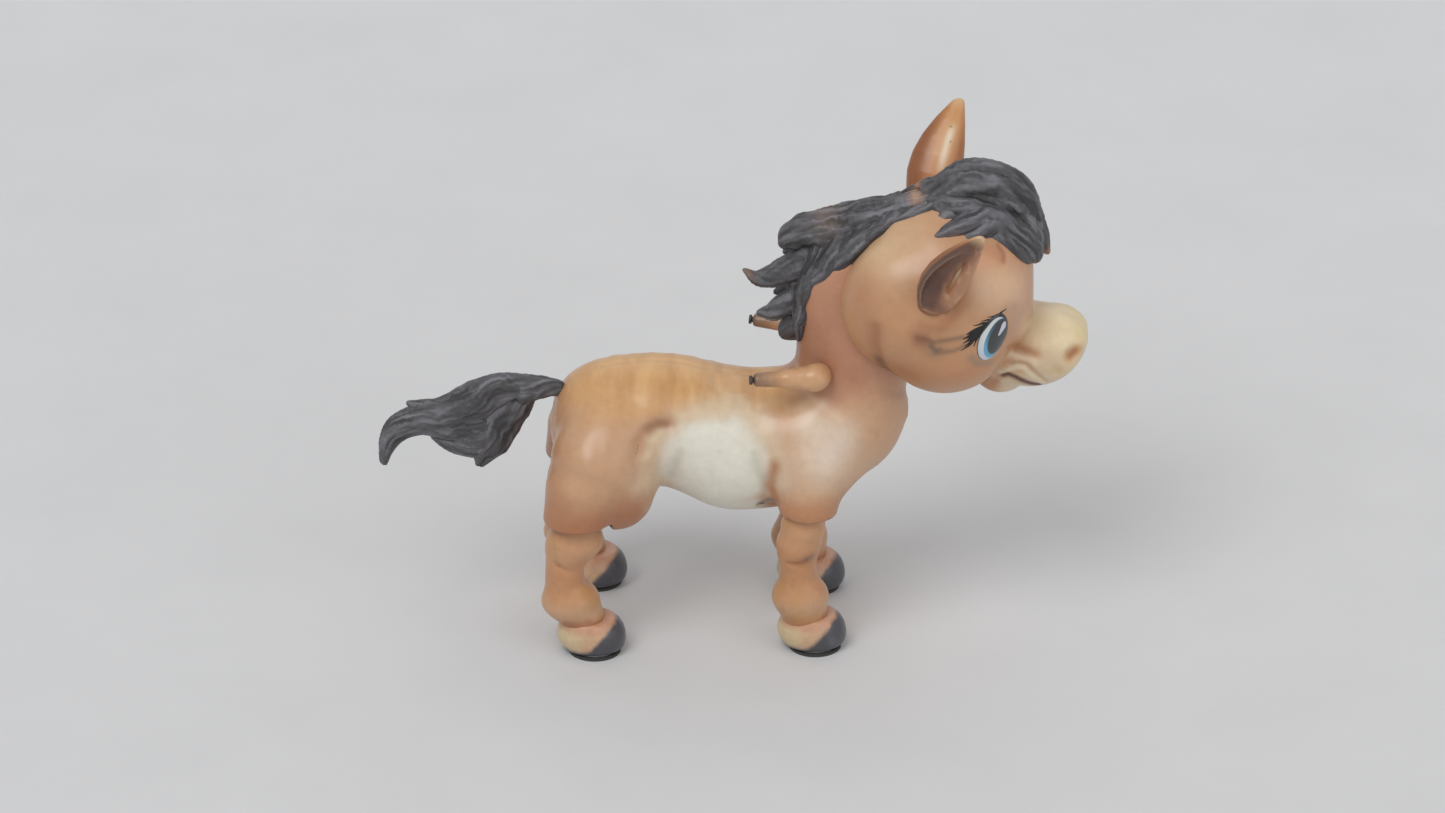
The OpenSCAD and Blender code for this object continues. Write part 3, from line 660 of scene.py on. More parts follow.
MOUTH = z5((480, 838), (540, 824), (620, 858), (690, 893), (750, 918), (820, 938), (890, 945))
LIP = z5((470, 815), (560, 772), (640, 750), (715, 762), (790, 830), (870, 890), (950, 932))
FOLD = z5((590, 722), (670, 706), (740, 722), (800, 778), (880, 850), (960, 915))
SMILE = z5((560, 520), (650, 545), (740, 588), (830, 618))
CHEEK = z4((215, 950), (212, 1040), (235, 1130), (290, 1210), (360, 1270))
JAWFOLD = z4((470, 1015), (560, 1040), (640, 1030), (740, 1010))
JAWFOLD2 = z4((545, 1060), (590, 1105), (680, 1095), (760, 1060))
EARFOLD = z4((680, 800), (700, 740), (745, 690), (760, 640))
TEMPLE = z4((500, 940), (600, 960), (680, 900), (705, 850))


def paint_head(H, P, N):
    x, y, z = P.T
    ay = np.abs(y)
    A = np.stack([x, -ay, z], 1)
    n1 = fbm(P, 80, 41)
    n2 = fbm(P, 26, 45)
    w = P + (np.stack([n1, n2, n1], 1) - 0.5) * np.array([24, 20, 24])
    wx, wy, wz = w.T
    dep = 19700 + 0.891 * (-ay) - 0.454 * (z - 463)
    u = 722.5 + 10034.7 * (x - 35.3) / dep
    v = 406.5 - 10034.7 * (0.891 * (z - 463) - 0.454 * ay) / dep
    c = np.tile(lin([194, 146, 108]), (len(P), 1))

    def blob(pt, rad, col, a):
        nonlocal c
        q = pick(H, [pt])[0]
        d2 = (((A - q) / np.array(rad)) ** 2).sum(1)
        c = mixc(c, col, a * np.exp(-d2))

    # patches of tone over the face: the light ones on the cheek, brow and forehead are painted highlights, the dark
    # ones along and under the jaw are painted shade
    for pt, rad, col, a in (
            ((880, 250), (70, 70, 60), [214, 180, 140], 0.9),
            ((905, 232), (60, 60, 40), [206, 170, 132], 0.6),
            ((862, 300), (30, 60, 70), [178, 124, 88], 0.6),
            ((903, 330), (50, 60, 60), [196, 142, 100], 0.5),
            ((905, 372), (70, 70, 34), [170, 110, 68], 0.75),
            ((960, 372), (70, 70, 30), [188, 130, 88], 0.7),
            ((935, 350), (60, 60, 36), [188, 132, 92], 0.5),
            ((958, 295), (24, 40, 30), [180, 118, 76], 0.8),
            ((1000, 285), (36, 40, 30), [216, 172, 126], 0.9),
            ((985, 262), (30, 30, 18), [204, 146, 108], 0.8),
            ((1022, 290), (16, 60, 50), [202, 156, 130], 0.8),
            ((1020, 262), (30, 60, 20), [198, 140, 108], 0.6),
            ((1018, 322), (18, 30, 30), [186, 148, 126], 0.75),
            ((1024, 344), (26, 30, 22), [190, 146, 104], 0.7),
            ((945, 318), (24, 30, 20), [176, 120, 82], 0.7),
            ((926, 340), (26, 30, 22), [156, 106, 72], 0.6),
            ((936, 352), (22, 20, 16), [128, 104, 80], 0.5),
            ((1014, 368), (26, 30, 14), [190, 138, 92], 0.7),
            ((1008, 290), (44, 60, 46), [228, 190, 156], 0.75),
            ((986, 292), (26, 40, 34), [222, 184, 150], 0.7),
            ((1024, 326), (18, 40, 34), [216, 178, 146], 0.7),
            ((962, 366), (40, 60, 26), [196, 142, 104], 0.5)):
        blob(pt, rad, col, a)
    # pale muzzle fading into the face
    mz = sstep(1018, 1050, u + (350 - v) * 0.15 + (n2 - 0.5) * 8) * (1 - sstep(296, 302, v - (u - 1033) * 0.02) * 0)
    mz = np.maximum(mz, sstep(1030, 1036, u) * sstep(296, 301, v))
    chin = sstep(992, 1014, u) * sstep(366, 384, v) * sstep(540, 580, x)
    mz = np.maximum(mz, chin) * (1 - sstep(688, 700, wz) * (1 - sstep(655, 664, x)))
    c = mixc(c, [230, 212, 174], mz * 0.96)
    c = mixc(c, [208, 178, 138], mz * (1 - sstep(1030, 1062, u)) * 0.75)
    c = mixc(c, [214, 196, 168], mz * sstep(365, 384, v) * 0.6)
    c = mixc(c, [226, 202, 146], mz * sstep(1060, 1084, u) * (1 - sstep(330, 350, v)) * 0.6)
    c = mixc(c, [206, 180, 152], mz * np.exp(-(((u - 1052) / 18) ** 2 + ((v - 362) / 14) ** 2)) * 0.7)

    def line(pts, wd, col, a):
        nonlocal c
        d = dist_line(A, pick(H, pts))
        c = mixc(c, col, a * np.exp(-(d / wd) ** 2))

    # the dark strokes down the folds, creases, mouth slit and nostril are painted shade; the pale strokes along the
    # lip and the ridges of the muzzle are painted highlights
    line(SMILE, 14, [176, 122, 76], 0.85)
    line(z5((640, 560), (740, 596)), 10, [160, 100, 58], 0.6)
    line(z5((560, 610), (660, 640), (760, 665), (850, 700)), 10, [226, 204, 172], 0.7)
    line(FOLD, 6, [172, 124, 88], 0.85)
    line(LIP, 8, [224, 208, 178], 0.8)
    line(z5((480, 838), (540, 824), (620, 858), (690, 893), (750, 918), (840, 945)), 9, [176, 132, 92], 0.7)
    line(MOUTH, 5.0, [84, 44, 40], 1.0)
    line(z5((1215, 640), (1265, 590), (1310, 550)), 13, [190, 134, 82], 0.85)
    line(z5((1235, 615), (1280, 575)), 8, [162, 100, 56], 0.8)
    line(z5((1110, 800), (1090, 770)), 12, [204, 170, 120], 0.6)
    line(z5((1000, 640), (1000, 720), (960, 800)), 14, [212, 184, 150], 0.5)
    line(CHEEK, 20, [164, 108, 72], 0.75)
    line(z4((240, 1140), (290, 1210), (350, 1262), (420, 1300)), 13, [112, 80, 62], 0.85)
    line(JAWFOLD, 6, [132, 100, 74], 0.75)
    line(JAWFOLD2, 5, [126, 100, 78], 0.65)
    line(z4((548, 1058), (570, 1090), (600, 1084)), 5, [112, 96, 80], 0.6)
    line(z4((470, 1015), (500, 1020)), 14, [136, 86, 60], 0.7)
    line(EARFOLD, 9, [150, 96, 62], 0.75)
    line(TEMPLE, 12, [168, 112, 76], 0.6)
    line(z4((955, 455), (985, 500), (985, 550)), 6, [166, 96, 64], 0.7)
    line(z4((800, 445), (900, 480), (960, 520)), 12, [190, 124, 90], 0.5)
    line(z4((790, 1130), (830, 1170), (900, 1160)), 9, [150, 128, 104], 0.7)
    line(z4((1000, 840), (1050, 830)), 14, [176, 140, 118], 0.4)
    c = mixc(c, [124, 86, 60], sstep(0.70, 0.86, n2) * 0.12)
    return c


# ---------------------------------------------------------------- legs and hooves
def front_leg_field(h):
    L = Field([122, 66, 54], [264, 190, 326], h)
    y0 = 128
    L.add(cone([199, y0, 308], 40.5, [193, y0, 262], 42.5))
    L.add(cone([193, y0, 262], 42.5, [182, y0, 205], 38), 8)
    L.add(ell([184, y0, 226], [43, 42, 40]), 10)
    L.add(cone([182, y0, 205], 35, [185, y0, 150], 37), 10)
    L.add(ell([188, y0, 112], [56, 52, 44]), 18)
    L.add(cone([190, y0, 104], 46, [196, y0, 76], 46), 14)
    def cap(x, y, z):
        return (z - 322 + 0 * x + 0 * y).astype(f4)
    G = L.grid()
    L.F = smax(L.F, cap(*G) + 0 * L.F, 6)
    L.groove([[224, y0 - 26, 206], [206, y0 - 40, 196], [184, y0 - 42, 194], [164, y0 - 34, 200]], 6, 3.5)
    L.groove([[224, y0 + 26, 206], [206, y0 + 40, 196], [184, y0 + 42, 194], [164, y0 + 34, 200]], 6, 3.5)
    L.groove([[230, y0 + 4, 246], [228, y0 + 2, 300]], 10, 1.5)
    L.groove([[158, y0, 250], [152, y0, 190], [160, y0, 150]], 10, 2.2)
    L.groove([[214, y0 - 42, 284], [196, y0 - 44, 262]], 10, 1.4)
    L.bump([214, y0 - 34, 222], [14, 12, 16], -3)
    L.bump([172, y0 - 36, 124], [18, 12, 16], -2.5)
    L.bump([172, y0 + 36, 124], [18, 12, 16], -2.5)
    return L


def hind_leg_field(h):
    L = Field([-346, 82, 50], [-178, 214, 316], h)
    y0 = 147
    L.add(cone([-247, y0, 296], 41, [-256, y0, 250], 44))
    L.add(ell([-262, y0, 234], [50, 43, 46]), 16)
    L.add(ell([-240, y0, 246], [42, 40, 34]), 12)
    L.add(cone([-272, y0, 216], 38, [-274, y0, 150], 38), 12)
    L.add(ell([-264, y0, 112], [57, 52, 42]), 18)
    L.add(cone([-256, y0, 106], 45, [-240, y0, 78], 42), 14)
    G = L.grid()
    L.F = smax(L.F, (G[2] - 309).astype(f4) + 0 * L.F, 6)
    for s in (-1, 1):
        L.groove([[-218, y0 + s * 30, 208], [-240, y0 + s * 40, 194], [-262, y0 + s * 42, 190], [-286, y0 + s * 34, 204]], 6, 3.5)
        L.groove([[-296, y0 + s * 26, 236], [-290, y0 + s * 36, 206], [-282, y0 + s * 37, 172]], 8, 2.0)
        L.bump([-244, y0 + s * 44, 126], [20, 12, 16], -2.5)
        L.bump([-292, y0 + s * 34, 250], [16, 14, 18], -3)
    L.groove([[-308, y0, 200], [-310, y0, 160]], 10, -1.5)
    L.groove([[-228, y0, 196], [-234, y0, 150]], 10, 2.2)
    return L


def hoof_field(h, cx, cy, lean):
    """A rounded hoof: high at the heel, toe forward; hollow below for the foot plate."""
    K = Field([cx - 90, cy - 72, 0], [cx + 76, cy + 72, 100], h)
    K.add(ell([cx - 8, cy - 3, 40], [67, 57, 47]))
    K.add(ell([cx, cy - 3, 24], [60, 54, 36]), 12)
    K.add(cone([cx - 12 - lean, cy, 56], 46, [cx - 18 - lean, cy, 66], 43), 10)
    G = K.grid()
    x, y, z = G
    top = (z - (62 + 0 * x)).astype(f4)
    K.F = smax(K.F, (6.4 - z).astype(f4) + 0 * K.F, 7)
    K.F = smax(K.F, ((z - 74) * 1.0 + 0 * x).astype(f4) + 0 * K.F, 4)
    bore = np.maximum(np.sqrt((x - cx) ** 2 + (y - cy) ** 2) - 47, z - 20).astype(f4)
    K.F = np.maximum(K.F, -bore)
    return K


def coat_leg(P, N, cav, front):
    x, y, z = P.T
    n1 = fbm(P, 60, 61)
    n2 = fbm(P, 20, 65)
    c = np.tile(lin([190, 136, 94]), (len(P), 1))
    c = mixc(c, [204, 158, 120], np.exp(-((z - (262 if front else 236)) / 34) ** 2) * 0.55)
    c = mixc(c, [206, 170, 136], np.exp(-((z - 104) / 24) ** 2) * 0.55)
    c = mixc(c, [166, 106, 68], (1 - sstep(70, 92, z + (n2 - 0.5) * 20)) * 0.85)
    c = mixc(c, [186, 140, 84], sstep(0.45, 0.7, n1) * 0.5)
    # painted shade in the creases
    c = mixc(c, [160, 104, 70], sstep(0.02, 0.22, cav) * 0.8)
    # painted shade at the top of the leg, under the body's sleeve
    c = mixc(c, [170, 112, 74], sstep(290, 316, z) * 0.7)
    if front:
        d = np.sqrt((x - 207) ** 2 + (z - 208) ** 2 + (np.abs(y) - 90) ** 2 * 0.2)
        c = mixc(c, [92, 80, 66], np.exp(-(d / 11) ** 2) * 0.75)
    c = mixc(c, [120, 84, 60], sstep(0.64, 0.82, n2) * 0.22)
    return c


def coat_hoof(P, N, cx, cav):
    x, y, z = P.T
    n1 = fbm(P, 34, 71)
    n2 = fbm(P, 12, 75)
    c = np.tile(lin([74, 74, 80]), (len(P), 1))
    c = mixc(c, [104, 104, 112], sstep(0.5, 0.75, n1) * 0.6)
    c = mixc(c, [46, 46, 48], (1 - sstep(8, 24, z + n2 * 10)) * 0.7)
    edge = z - 17 - 56 * sstep(-26, 50, x - cx) + (n2 - 0.5) * 10
    pale = sstep(-7, 9, edge)
    c = mixc(c, [204, 166, 132], pale * 0.95)
    c = mixc(c, [206, 190, 150], pale * (1 - sstep(cx - 50, cx - 10, x)) * 0.7)
    c = mixc(c, [196, 140, 112], pale * sstep(50, 64, z) * 0.6)
    return c


# ---------------------------------------------------------------- hair
def bez(pts, n=14):
    """Smooth curve through control points (Catmull-Rom)."""
    p = np.array(pts, float)
    p = np.vstack([2 * p[0] - p[1], p, 2 * p[-1] - p[-2]])
    out = []
    for i in range(1, len(p) - 2):
        for t in np.linspace(0, 1, n, endpoint=False):
            a, b, c, d = p[i - 1], p[i], p[i + 1], p[i + 2]
            out.append(0.5 * ((2 * b) + (-a + c) * t + (2 * a - 5 * b + 4 * c - d) * t * t + (-a + 3 * b - 3 * c + d) * t ** 3))
    out.append(p[-2])
    return np.array(out)


def lock(Fd, pts, radii, n=5, k=4.0, squash=None):
    c = bez(pts, n)
    r = np.interp(np.linspace(0, 1, len(c)), np.linspace(0, 1, len(radii)), radii)
    for a, b, ra, rb in zip(c[:-1], c[1:], r[:-1], r[1:]):
        Fd.add(cone(a, ra, b, rb, squash), k)
    return c


def bundle(Fd, pts, radii, strands, spread, thin, seed, k=2.6, squash=None, twist=0.6):
    """A core with strands laid round it, so that the grooves run along the hair."""
    r0 = np.random.default_rng(seed)
    c = bez(pts, 5)
    m = len(c)
    T = np.gradient(c, axis=0)
    T /= np.linalg.norm(T, axis=1, keepdims=True)
    U = np.cross(T, [0, 1, 0])
    U /= np.linalg.norm(U, axis=1, keepdims=True) + 1e-9
    V = np.cross(T, U)
    r = np.interp(np.linspace(0, 1, m), np.linspace(0, 1, len(radii)), radii)
    sq = 1.0 if squash is None else squash
    run = np.concatenate([[0], np.cumsum(np.linalg.norm(np.diff(c, axis=0), axis=1))])
    Fd.__dict__.setdefault("strands", []).append((c, T, U, V, run, r, np.full(m, float(seed))))
    for i in range(m - 1):
        Fd.add(cone(c[i], r[i] * thin * min(1, sq + .1), c[i + 1], r[i + 1] * thin * min(1, sq + .1)), 6)
    strands = int(strands * 1.5)
    fr = np.arange(m) / m
    for s in range(strands):
        a0 = 2 * math.pi * (s + r0.uniform(-0.3, 0.3)) / strands
        tw = r0.uniform(-twist, twist)
        rad = r0.uniform(0.80, 1.08)
        w1, w2, p1, p2 = r0.uniform(0.05, 0.16), r0.uniform(0.03, 0.09), r0.uniform(0, 6.3), r0.uniform(0, 6.3)
        f1 = r0.uniform(0.8, 2.2)
        ang = a0 + tw * fr + w1 * 2.2 * np.sin(6.28 * f1 * fr + p1)
        ww = r * spread * rad * (1 + w2 * np.sin(6.28 * 1.7 * f1 * fr + p2))
        q = c + U * (np.cos(ang) * ww)[:, None] + V * (np.sin(ang) * ww * sq)[:, None]
        rr = np.maximum(r * (1 - spread) * r0.uniform(0.62, 1.05) + 1.0, 1.6)
        for i in range(m - 1):
            Fd.add(cone(q[i], rr[i], q[i + 1], rr[i + 1]), k)


def tail_field(h):
    T = Field([-672, -66, 310], [-270, 66, 545], h)
    # root, then one flat wavy fall that splits into lobes
    bundle(T, [[-284, 0, 504], [-320, 0, 506], [-356, 0, 502]], [15, 23, 32], 9, 0.55, 0.6, 1, squash=0.8)
    bundle(T, [[-330, 0, 508], [-396, 0, 503], [-444, 0, 478], [-500, 0, 450], [-556, 0, 440], [-602, 0, 420], [-624, 0, 388], [-634, 0, 342]],
           [22, 38, 47, 43, 34, 28, 17, 4], 13, 0.62, 0.55, 2, squash=0.55)
    bundle(T, [[-346, 0, 500], [-374, 0, 466], [-402, 0, 430], [-424, 0, 384], [-442, 0, 336]], [20, 38, 45, 40, 9], 11, 0.62, 0.6, 3, squash=0.55)
    bundle(T, [[-396, 0, 440], [-440, 0, 396], [-486, 0, 390], [-532, 0, 400]], [34, 42, 28, 8], 9, 0.6, 0.6, 4, squash=0.6)
    bundle(T, [[-440, 0, 432], [-500, 0, 420], [-556, 0, 422], [-596, 0, 408], [-620, 0, 376], [-630, 0, 338]], [36, 34, 22, 19, 14, 5], 9, 0.6, 0.6, 5, squash=0.6)
    bundle(T, [[-500, 0, 456], [-542, 0, 463], [-582, 0, 470]], [18, 15, 4], 5, 0.55, 0.6, 6, squash=0.8)
    return T


def mane_field(h):
    M = Field([56, -128, 530], [540, 128, 992], h)
    # crest over the back of the head and down the neck
    bundle(M, [[462, -22, 920], [404, -14, 902], [356, -8, 885], [312, -4, 874], [268, 0, 852], [226, 0, 838]], [32, 36, 38, 45, 48, 46], 14, 0.72, 0.7, 11, twist=0.9)
    bundle(M, [[300, 0, 850], [250, 0, 812], [214, 0, 768], [198, 0, 724], [192, 0, 680], [190, 0, 642], [182, 0, 618]], [44, 46, 44, 36, 32, 26, 12], 13, 0.68, 0.7, 12)
    for sg in (-1, 1):
        g = 1 if sg < 0 else 0.94
        for i, (pts, rad, n) in enumerate((
                ([[448, 38, 914], [410, 46, 899], [376, 46, 882], [350, 48, 864]], [24, 24, 18, 5], 7),
                ([[384, 22, 896], [344, 40, 866], [314, 48, 842], [292, 52, 820]], [26, 28, 20, 5], 8),
                ([[330, 20, 870], [292, 46, 836], [264, 54, 806], [236, 58, 782]], [30, 30, 22, 5], 8),
                ([[276, 20, 848], [246, 46, 812], [222, 52, 782], [204, 52, 752]], [28, 28, 20, 5], 8),
                ([[236, 14, 830], [214, 40, 786], [198, 44, 742], [190, 42, 696]], [26, 25, 18, 5], 7),
                ([[214, 8, 776], [196, 30, 726], [186, 34, 672], [184, 30, 626]], [24, 22, 16, 5], 6))):
            bundle(M, [[p[0], sg * p[1] * g, p[2]] for p in pts], rad, n, 0.62, 0.6, 40 + i + (20 if sg > 0 else 0))
    # tufts that flick back
    bundle(M, [[282, 0, 857], [226, -2, 858], [188, -4, 849], [166, -4, 836], [152, -6, 818]], [44, 38, 33, 25, 9], 12, 0.64, 0.6, 17)
    bundle(M, [[250, 0, 808], [196, -6, 782], [146, -8, 757], [104, -8, 748], [77, -8, 766]], [42, 36, 27, 14, 2.5], 10, 0.62, 0.6, 18)
    bundle(M, [[222, 0, 732], [176, -6, 702], [136, -8, 676], [106, -8, 672]], [34, 29, 21, 5], 9, 0.6, 0.6, 19)
    bundle(M, [[208, 0, 668], [180, -6, 648], [164, -6, 634], [155, -6, 624]], [34, 31, 24, 11], 9, 0.6, 0.6, 20)
    bundle(M, [[262, 6, 830], [210, 14, 814], [178, 18, 800], [156, 20, 792]], [34, 26, 16, 4], 7, 0.6, 0.6, 21)
    bundle(M, [[232, 4, 770], [190, 16, 736], [158, 20, 712], [138, 20, 704]], [32, 23, 13, 3], 7, 0.6, 0.6, 22)
    return M


def forelock_field(h):
    M = Field([400, -128, 764], [704, 128, 1010], h)
    bundle(M, [[440, -10, 916], [500, -4, 939], [556, 0, 932], [600, 0, 903], [626, 0, 862], [638, 0, 824]], [38, 54, 61, 54, 38, 14], 15, 0.72, 0.74, 31, twist=0.9)
    for sg in (-1, 1):
        for i, (pts, rad, n) in enumerate((
                ([[446, 30, 914], [500, 44, 918], [554, 52, 900], [602, 54, 864], [634, 46, 828], [646, 38, 802]], [30, 38, 42, 36, 26, 7], 11),
                ([[462, 46, 912], [508, 64, 896], [548, 74, 874], [588, 72, 846], [620, 60, 816]], [24, 27, 27, 23, 5], 9),
                ([[540, 50, 900], [580, 72, 868], [612, 70, 836], [622, 58, 812], [612, 50, 800]], [26, 24, 20, 13, 4], 8),
                ([[500, 46, 914], [468, 66, 902], [442, 80, 886], [424, 88, 872]], [26, 21, 13, 3.5], 7),
                ([[606, 26, 892], [634, 34, 852], [642, 32, 822], [634, 26, 804]], [30, 26, 17, 5], 8))):
            bundle(M, [[p[0], sg * p[1], p[2]] for p in pts], rad, n, 0.64, 0.62, 60 + i + (20 if sg > 0 else 0), twist=0.9)
    bundle(M, [[612, -6, 892], [642, -10, 858], [656, -12, 830], [668, -12, 806]], [32, 25, 15, 5], 8, 0.6, 0.6, 35)
    for sg in (-1, 1):
        bundle(M, [[p[0], sg * p[1], p[2]] for p in ([546, 58, 914], [510, 86, 905], [478, 102, 896], [448, 110, 882], [428, 110, 868])], [28, 24, 18, 11, 3.5], 9, 0.64, 0.62, 70 + sg)
        bundle(M, [[p[0], sg * p[1], p[2]] for p in ([560, 70, 900], [530, 94, 884], [504, 108, 880], [486, 118, 872])], [24, 20, 13, 3], 8, 0.64, 0.62, 74 + sg)
    bundle(M, [[612, 10, 886], [638, 14, 850], [648, 14, 822], [652, 12, 804]], [30, 24, 15, 5], 7, 0.6, 0.6, 36)
    bundle(M, [[452, 20, 934], [430, 24, 936], [412, 26, 930]], [20, 13, 3], 5, 0.6, 0.6, 37)
    return M


def along_hair(Fd, P):
    """Place round and along the nearest lock, for streaks that follow the hair."""
    C, T, U, V, run, r, sid = [np.concatenate([b[i] for b in Fd.strands]) for i in range(7)]
    out = np.zeros((len(P), 3))
    for i in range(0, len(P), 4000):
        p = P[i:i + 4000]
        d = np.linalg.norm(p[:, None] - C[None], axis=2) - r[None] * 0.9
        j = d.argmin(1)
        w = p - C[j]
        ang = np.arctan2((w * V[j]).sum(1), (w * U[j]).sum(1))
        out[i:i + 4000, 0] = ang * (0.35 * r[j] + 14)
        out[i:i + 4000, 1] = (run[j] + (w * T[j]).sum(1)) * 0.13
        out[i:i + 4000, 2] = sid[j] * 37.0
    return out


def paint_hair(Fd, P, N, cav, seed):
    n1 = fbm(P, 50, seed)
    n2 = fbm(P, 16, seed + 3)
    L = along_hair(Fd, P)
    L[:, 0] += (fbm(P, 40, seed + 9) - 0.5) * 26
    st = fbm(L, 8.0, seed + 5, 2)
    s2 = fbm(L + 71.0, 4.2, seed + 6, 2)
    c = np.tile(lin([76, 75, 77]), (len(P), 1))
    c = mixc(c, [104, 105, 111], sstep(0.5, 0.72, n1) * 0.55)
    c = mixc(c, [86, 74, 84], sstep(0.5, 0.8, n2) * 0.4)
    c = mixc(c, [128, 128, 134], sstep(0.53, 0.74, st) * 0.62)
    c = mixc(c, [43, 42, 43], (1 - sstep(0.28, 0.46, st)) * 0.8)
    c = mixc(c, [116, 116, 122], sstep(0.55, 0.75, s2) * 0.45)
    c = mixc(c, [50, 49, 50], (1 - sstep(0.25, 0.45, s2)) * 0.45)
    # painted shade in the hollows between the locks
    c = mixc(c, [40, 39, 40], sstep(0.03, 0.3, cav) * 0.8)
    P += N * ((st - 0.5) * 3.2 + (s2 - 0.5) * 1.6)[:, None]
    # brown wash on the rims and the tips that flick out
    A = np.stack([P[:, 0], -np.abs(P[:, 1]), P[:, 2]], 1)
    for q, rad, a in (((424, -88, 872), 20, 0.8), ((430, -110, 868), 22, 0.8), ((486, -118, 872), 16, 0.7), ((412, -26, 930), 14, 0.9),
                      ((668, -12, 806), 15, 0.7), ((238, -2, 866), 26, 0.5), ((80, -8, 760), 16, 0.4), ((640, -40, 800), 12, 0.5)):
        c = mixc(c, [188, 142, 108], a * np.exp(-((A - np.array(q)) ** 2).sum(1) / rad ** 2))
    return c


# ---------------------------------------------------------------- ears
def ear_field(h, base, tip, wide):
    """A leaf-shaped cup, open outwards, with a thick rolled front edge. Built on the +Y side."""
    E = Field([384, 132, 738], [592, 330, 1036], h)
    tip = np.array(tip, float)
    base = np.array(base, float)
    L = tip - base
    Ln = np.linalg.norm(L)
    L /= Ln
    out = np.array([0.04, 0.88, -0.44])
    out -= L * (out @ L)
    out /= np.linalg.norm(out)
    W = np.cross(L, out)
    x, y, z = E.grid()
    px, py, pz = x - base[0], y - base[1], z - base[2]
    a = (px * L[0] + py * L[1] + pz * L[2]) / Ln
    w = px * W[0] + py * W[1] + pz * W[2]
    o = px * out[0] + py * out[1] + pz * out[2]
    t = np.clip(a, -0.12, 1.05)
    prof = (wide * np.interp(t, [-0.12, -0.05, 0.05, 0.18, 0.32, 0.48, 0.64, 0.8, 0.92, 1.0, 1.05], [14, 28, 38, 46, 49, 46, 38, 26, 15, 7, 2])).astype(f4)
    sweep_ = (10 * np.sin(np.clip(t, 0, 1) * math.pi)).astype(f4)
    w = w - sweep_
    q = np.sqrt((w / np.where(w > 0, 1.04, 0.92)) ** 2 + ((o + 5 + 0.3 * sweep_) / 0.60) ** 2)
    outer = (q - prof) * 0.70
    ends = np.maximum(-a - 0.10, a - 1.0) * Ln
    outer = smax(outer, ends.astype(f4), 10)
    qi = np.sqrt(((w - 6) / 1.0) ** 2 + ((o - 17) / 0.76) ** 2)
    inner = (qi - (prof - 9.5)) * 0.76
    inner = np.maximum(inner, (0.0 - a) * Ln)
    # the front edge rolls over the cup
    roll = np.sqrt((w + prof * 0.52) ** 2 + (o - 2) ** 2) - prof * 0.30
    E.F = smax(outer, -inner, 5).astype(f4)
    E.F = smin(E.F, np.maximum(smax((roll * 0.9).astype(f4), ends.astype(f4), 10), (0.03 - a) * Ln).astype(f4), 9).astype(f4)
    E.add(cone([base[0] - 4, 158, base[2] - 8], 28, [base[0] + 10, 192, base[2] + 34], 25), 16)
    E.F = np.maximum(E.F, -(ell(SK, [189, 199, 195])[0](x, y, z)))
    return E, (base, L, W, out, Ln, prof)


def paint_ear(P, N, cav, fr, near):
    base, L, W, out, Ln, _ = fr
    d = P - base
    a = d @ L / Ln
    w = d @ W - 10 * np.sin(np.clip(a, 0, 1) * math.pi)
    o = d @ out
    facing = N @ out
    n1 = fbm(P, 40, 91)
    n2 = fbm(P, 9, 95)
    st = fbm(P * np.array([1, 0.4, 0.3]), 8, 97)
    c = np.tile(lin([186, 124, 74]), (len(P), 1))
    back = 1 - sstep(0.1, 0.4, facing)
    # painted highlight down the middle of the ear's back: a broad glow and a bright narrow streak
    c = mixc(c, [214, 160, 100], np.exp(-((w + 6) / 20) ** 2) * sstep(0.15, 0.5, a) * back * 0.7)
    c = mixc(c, [244, 228, 202], np.exp(-((w + 7) / 8) ** 2) * sstep(0.25, 0.5, a) * (1 - sstep(0.66, 0.82, a)) * back * 0.8)
    c = mixc(c, [140, 78, 40], (1 - sstep(-0.05, 0.3, a)) * 0.7)
    # painted shade down both sides of the curved back
    c = mixc(c, [136, 80, 44], sstep(6, 40, w) * back * 0.8)
    c = mixc(c, [150, 92, 52], sstep(20, 40, -w) * back * 0.6)
    inside = sstep(0.10, 0.45, facing) * sstep(-0.06, 0.04, a)
    c = mixc(c, [182, 130, 96], inside * 0.95)
    # painted shade deep in the cup, darker towards one side
    cup_shade = inside * sstep(-18, 4, w + 12 * (a - 0.4))
    c = mixc(c, [100, 66, 52], cup_shade * 0.97)
    c = mixc(c, [92, 68, 60], cup_shade * sstep(12, 36, w) * 0.7)
    c = mixc(c, [160, 110, 78], inside * np.exp(-((w + 8) / 9) ** 2) * 0.4)
    c = mixc(c, [208, 164, 126], inside * sstep(0.5, 0.7, st) * (1 - sstep(-14, 4, w)) * 0.5)
    # painted shade inside the cup near its root
    c = mixc(c, [106, 72, 56], inside * (1 - sstep(0.02, 0.22, a)) * 0.6)
    # painted highlight on the rims
    c = mixc(c, [206, 166, 128], sstep(0.06, 0.35, -cav) * sstep(0.0, 0.3, facing) * 0.7)
    c = mixc(c, [214, 180, 140], sstep(0.88, 1.0, a) * 0.7)
    c = mixc(c, [86, 60, 46], sstep(0.78, 0.84, n2) * 0.6)
    return c


# ---------------------------------------------------------------- materials
def nt(mat):
    mat.use_nodes = True
    t = mat.node_tree
    t.nodes.clear()
    out = t.nodes.new("ShaderNodeOutputMaterial")
    b = t.nodes.new("ShaderNodeBsdfPrincipled")
    t.links.new(b.outputs[0], out.inputs[0])
    return t, b


